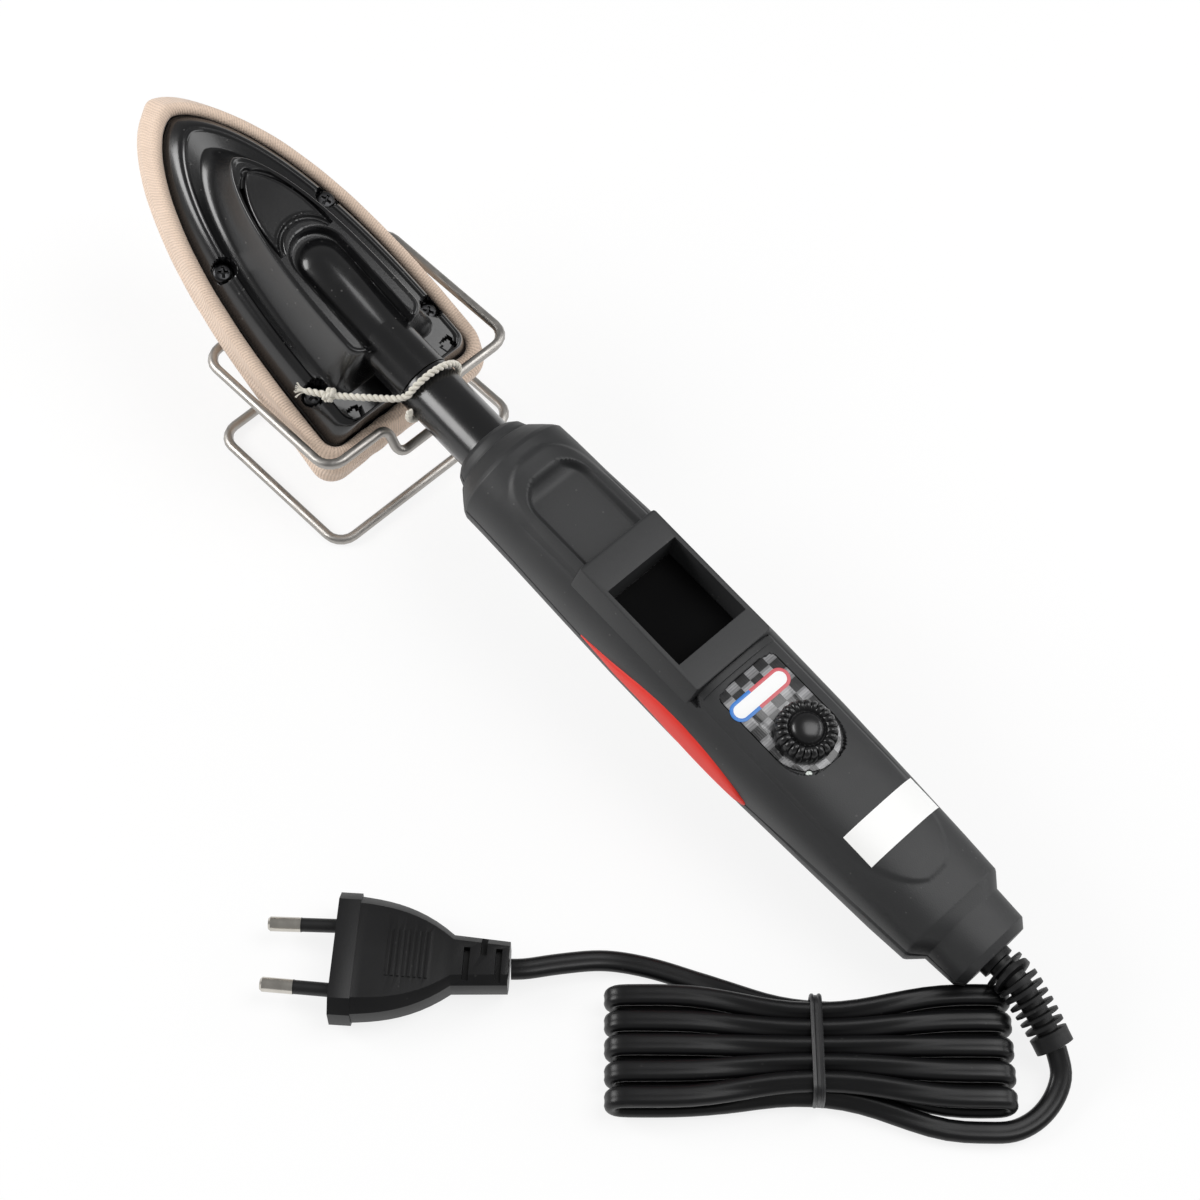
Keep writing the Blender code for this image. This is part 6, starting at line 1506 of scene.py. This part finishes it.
class SEALINGIRON_OT_controls(Operator):
    """The scale panel, pilot light and knob"""
    bl_idname = "sealing_iron.controls"
    bl_label = "Controls"

    def execute(self, context):
        weave = self.check_weave()
        dress("scale_panel", weave, 0.1 * MM)
        look, tree, bsdf = blank_look("pilot_lens")
        where = in_frame(tree, HANDLE)
        tone = use_group(tree, "Moulded grain", ("Coordinates", where), ("Patches per metre", 300.0))
        base = ramp(tree, tone.outputs["Tone"], [(0.3, (0.55, 0.60, 0.56)), (0.7, (0.72, 0.76, 0.72))])
        tree.links.new(base, bsdf.inputs["Base Color"])
        bsdf.inputs["Roughness"].default_value = 0.12
        dress("pilot_light", look, 0.1 * MM)
        gloss = moulded("knob_gloss", (0.004, 0.004, 0.0045), 0.28, 1200.0, 0.004, 0.1, 0.02, 0.06, 0.5, 0.1)
        knob = fluted_knob(gloss)
        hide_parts("temperature_knob")
        self.capsule()
        dress("potentiometer_shaft", metal("shaft_nickel", (0.74, 0.72, 0.68), 0.25, 7000.0))
        return {"FINISHED"}

    def capsule(self):
        """The plain white strip with its outline, blue at the left and red at the right."""
        white, blue, red = (
            moulded(name, colour, 0.35, 900.0, 0.002, 0.0, 0.0, 0.05, 0.5, tone, HANDLE)
            for name, colour, tone in (("strip_white", (0.92, 0.92, 0.92), 0.01),
                                       ("strip_blue", (0.03, 0.20, 0.62), 0.02),
                                       ("strip_red", (0.62, 0.10, 0.12), 0.02)))
        place, low, high, top = 57.2, -8.1, 6.4, 18.78
        quarter = 30
        outline = []
        for k in range(4 * quarter):
            t = k % quarter / quarter
            turn = math.pi * t
            outline.append(((1.0, low + (high - low) * t, 0.0), (math.cos(turn), high, math.sin(turn)),
                            (-1.0, high + (low - high) * t, 0.0), (-math.cos(turn), low, -math.sin(turn)))
                           [k // quarter])
        levels = ((3.05, -0.05), (3.05, 0.05), (2.98, 0.08), (2.05, 0.08), (1.98, 0.06), (0.02, 0.06))
        rings = [[Vector((place + x * radius, y + out * radius, top + height)) * MM for x, y, out in outline]
                 for radius, height in levels]
        points, faces = bridged(rings)
        faces = [tuple(reversed(face)) for face in faces]
        strip = mesh_piece("plain_strip", points, faces, white, "iron", HANDLE, 40.0)
        strip.data.materials.append(blue)
        strip.data.materials.append(red)
        back = HANDLE.inverted()
        edge_levels = 3
        for face in strip.data.polygons:
            spot = (back @ face.center) / MM
            if face.index < edge_levels * len(outline):
                split = -2.2 if spot.x < place else -3.4
                face.material_index = 1 if spot.y < split else 2

    def check_weave(self):
        """A twill check of silver and black tows under a clear film."""
        look, tree, bsdf = blank_look("check_weave_film")
        where = in_frame(tree, HANDLE)
        cell = 1.0 / (3.5 * MM)
        scaled = node(tree, "ShaderNodeMapping", [
            ("Vector", where), ("Scale", (cell, cell, cell))]).outputs[0]
        checks = node(tree, "ShaderNodeTexChecker", [("Vector", scaled), ("Scale", 1.0),
                                                     ("Color1", (1.0, 1.0, 1.0, 1.0)),
                                                     ("Color2", (0.0, 0.0, 0.0, 1.0))]).outputs["Fac"]
        parts = node(tree, "ShaderNodeSeparateXYZ", [(0, scaled)])
        turn = 2.0 * math.pi * 5.0
        along, across = (maths(tree, "SINE", maths(tree, "MULTIPLY", parts.outputs[k], turn)) for k in (0, 1))
        ribs = node(tree, "ShaderNodeMix", [("Factor", checks), (2, across), (3, along)],
                    data_type="FLOAT").outputs[0]
        slow = clouds(tree, where, 420.0, 2.0).outputs[0]
        local = maths(tree, "MULTIPLY_ADD", slow, 0.35, maths(tree, "FRACT", parts.outputs[0]))
        pale = ramp(tree, local, [(0.10, (0.11, 0.11, 0.115)), (0.55, (0.40, 0.40, 0.41)),
                                  (1.0, (0.20, 0.20, 0.205))])
        dark = ramp(tree, slow, [(0.30, (0.008, 0.008, 0.009)), (0.70, (0.03, 0.03, 0.031))])
        base = mix_colours(tree, checks, dark, pale)
        thread = map_range(tree, ribs, -1.0, 1.0, 0.72, 1.0)
        tree.links.new(mix_colours(tree, 1.0, base, thread, "MULTIPLY"), bsdf.inputs["Base Color"])
        raise_surface(tree, bsdf, ribs, 0.02 * MM, 0.6)
        bsdf.inputs["Roughness"].default_value = 0.34
        bsdf.inputs["Coat Weight"].default_value = 0.6
        bsdf.inputs["Coat Roughness"].default_value = 0.08
        return look


class SEALINGIRON_PT_panel(Panel):
    """The sealing iron's pieces and their settings"""
    bl_idname = "SEALINGIRON_PT_panel"
    bl_label = "Sealing Iron"
    bl_space_type = "VIEW_3D"
    bl_region_type = "UI"
    bl_category = "Sealing Iron"

    def draw(self, context):
        layout = self.layout
        values = context.scene.sealing_iron
        for label, group, operator in PIECES:
            box = layout.box()
            box.label(text=label)
            if group:
                held = getattr(values, group)
                for key in held.bl_rna.properties.keys():
                    if key not in {"rna_type", "name"}:
                        box.prop(held, key)
            box.operator(operator)


PIECES = (
    ("Stage", "stage", "sealing_iron.stage"),
    ("Cord and plug", "cord", "sealing_iron.cord"),
    ("Head housing", "head", "sealing_iron.head"),
    ("Cloth cover", "cover", "sealing_iron.cover"),
    ("Draw string", "string", "sealing_iron.string"),
    ("Wire stand", "stand", "sealing_iron.stand"),
    ("Handle", "handle", "sealing_iron.handle"),
    ("Controls", None, "sealing_iron.controls"),
)

CLASSES = (
    CoverSettings, StringSettings, HandleSettings, HeadSettings, CordSettings, StandSettings, StageSettings,
    SealingIronSettings, SEALINGIRON_OT_stage, SEALINGIRON_OT_cord, SEALINGIRON_OT_head,
    SEALINGIRON_OT_cover, SEALINGIRON_OT_string, SEALINGIRON_OT_stand, SEALINGIRON_OT_handle,
    SEALINGIRON_OT_controls, SEALINGIRON_PT_panel,
)


def register():
    for kind in CLASSES:
        bpy.utils.register_class(kind)
    bpy.types.Scene.sealing_iron = PointerProperty(type=SealingIronSettings)


def unregister():
    del bpy.types.Scene.sealing_iron
    for kind in reversed(CLASSES):
        bpy.utils.unregister_class(kind)


def main():
    register()
    for build in (grain_group, speck_group, streak_group, knit_group):
        build()
    for _, _, operator in PIECES:
        section, name = operator.split(".")
        getattr(getattr(bpy.ops, section), name)()


if __name__ == "__main__":
    main()
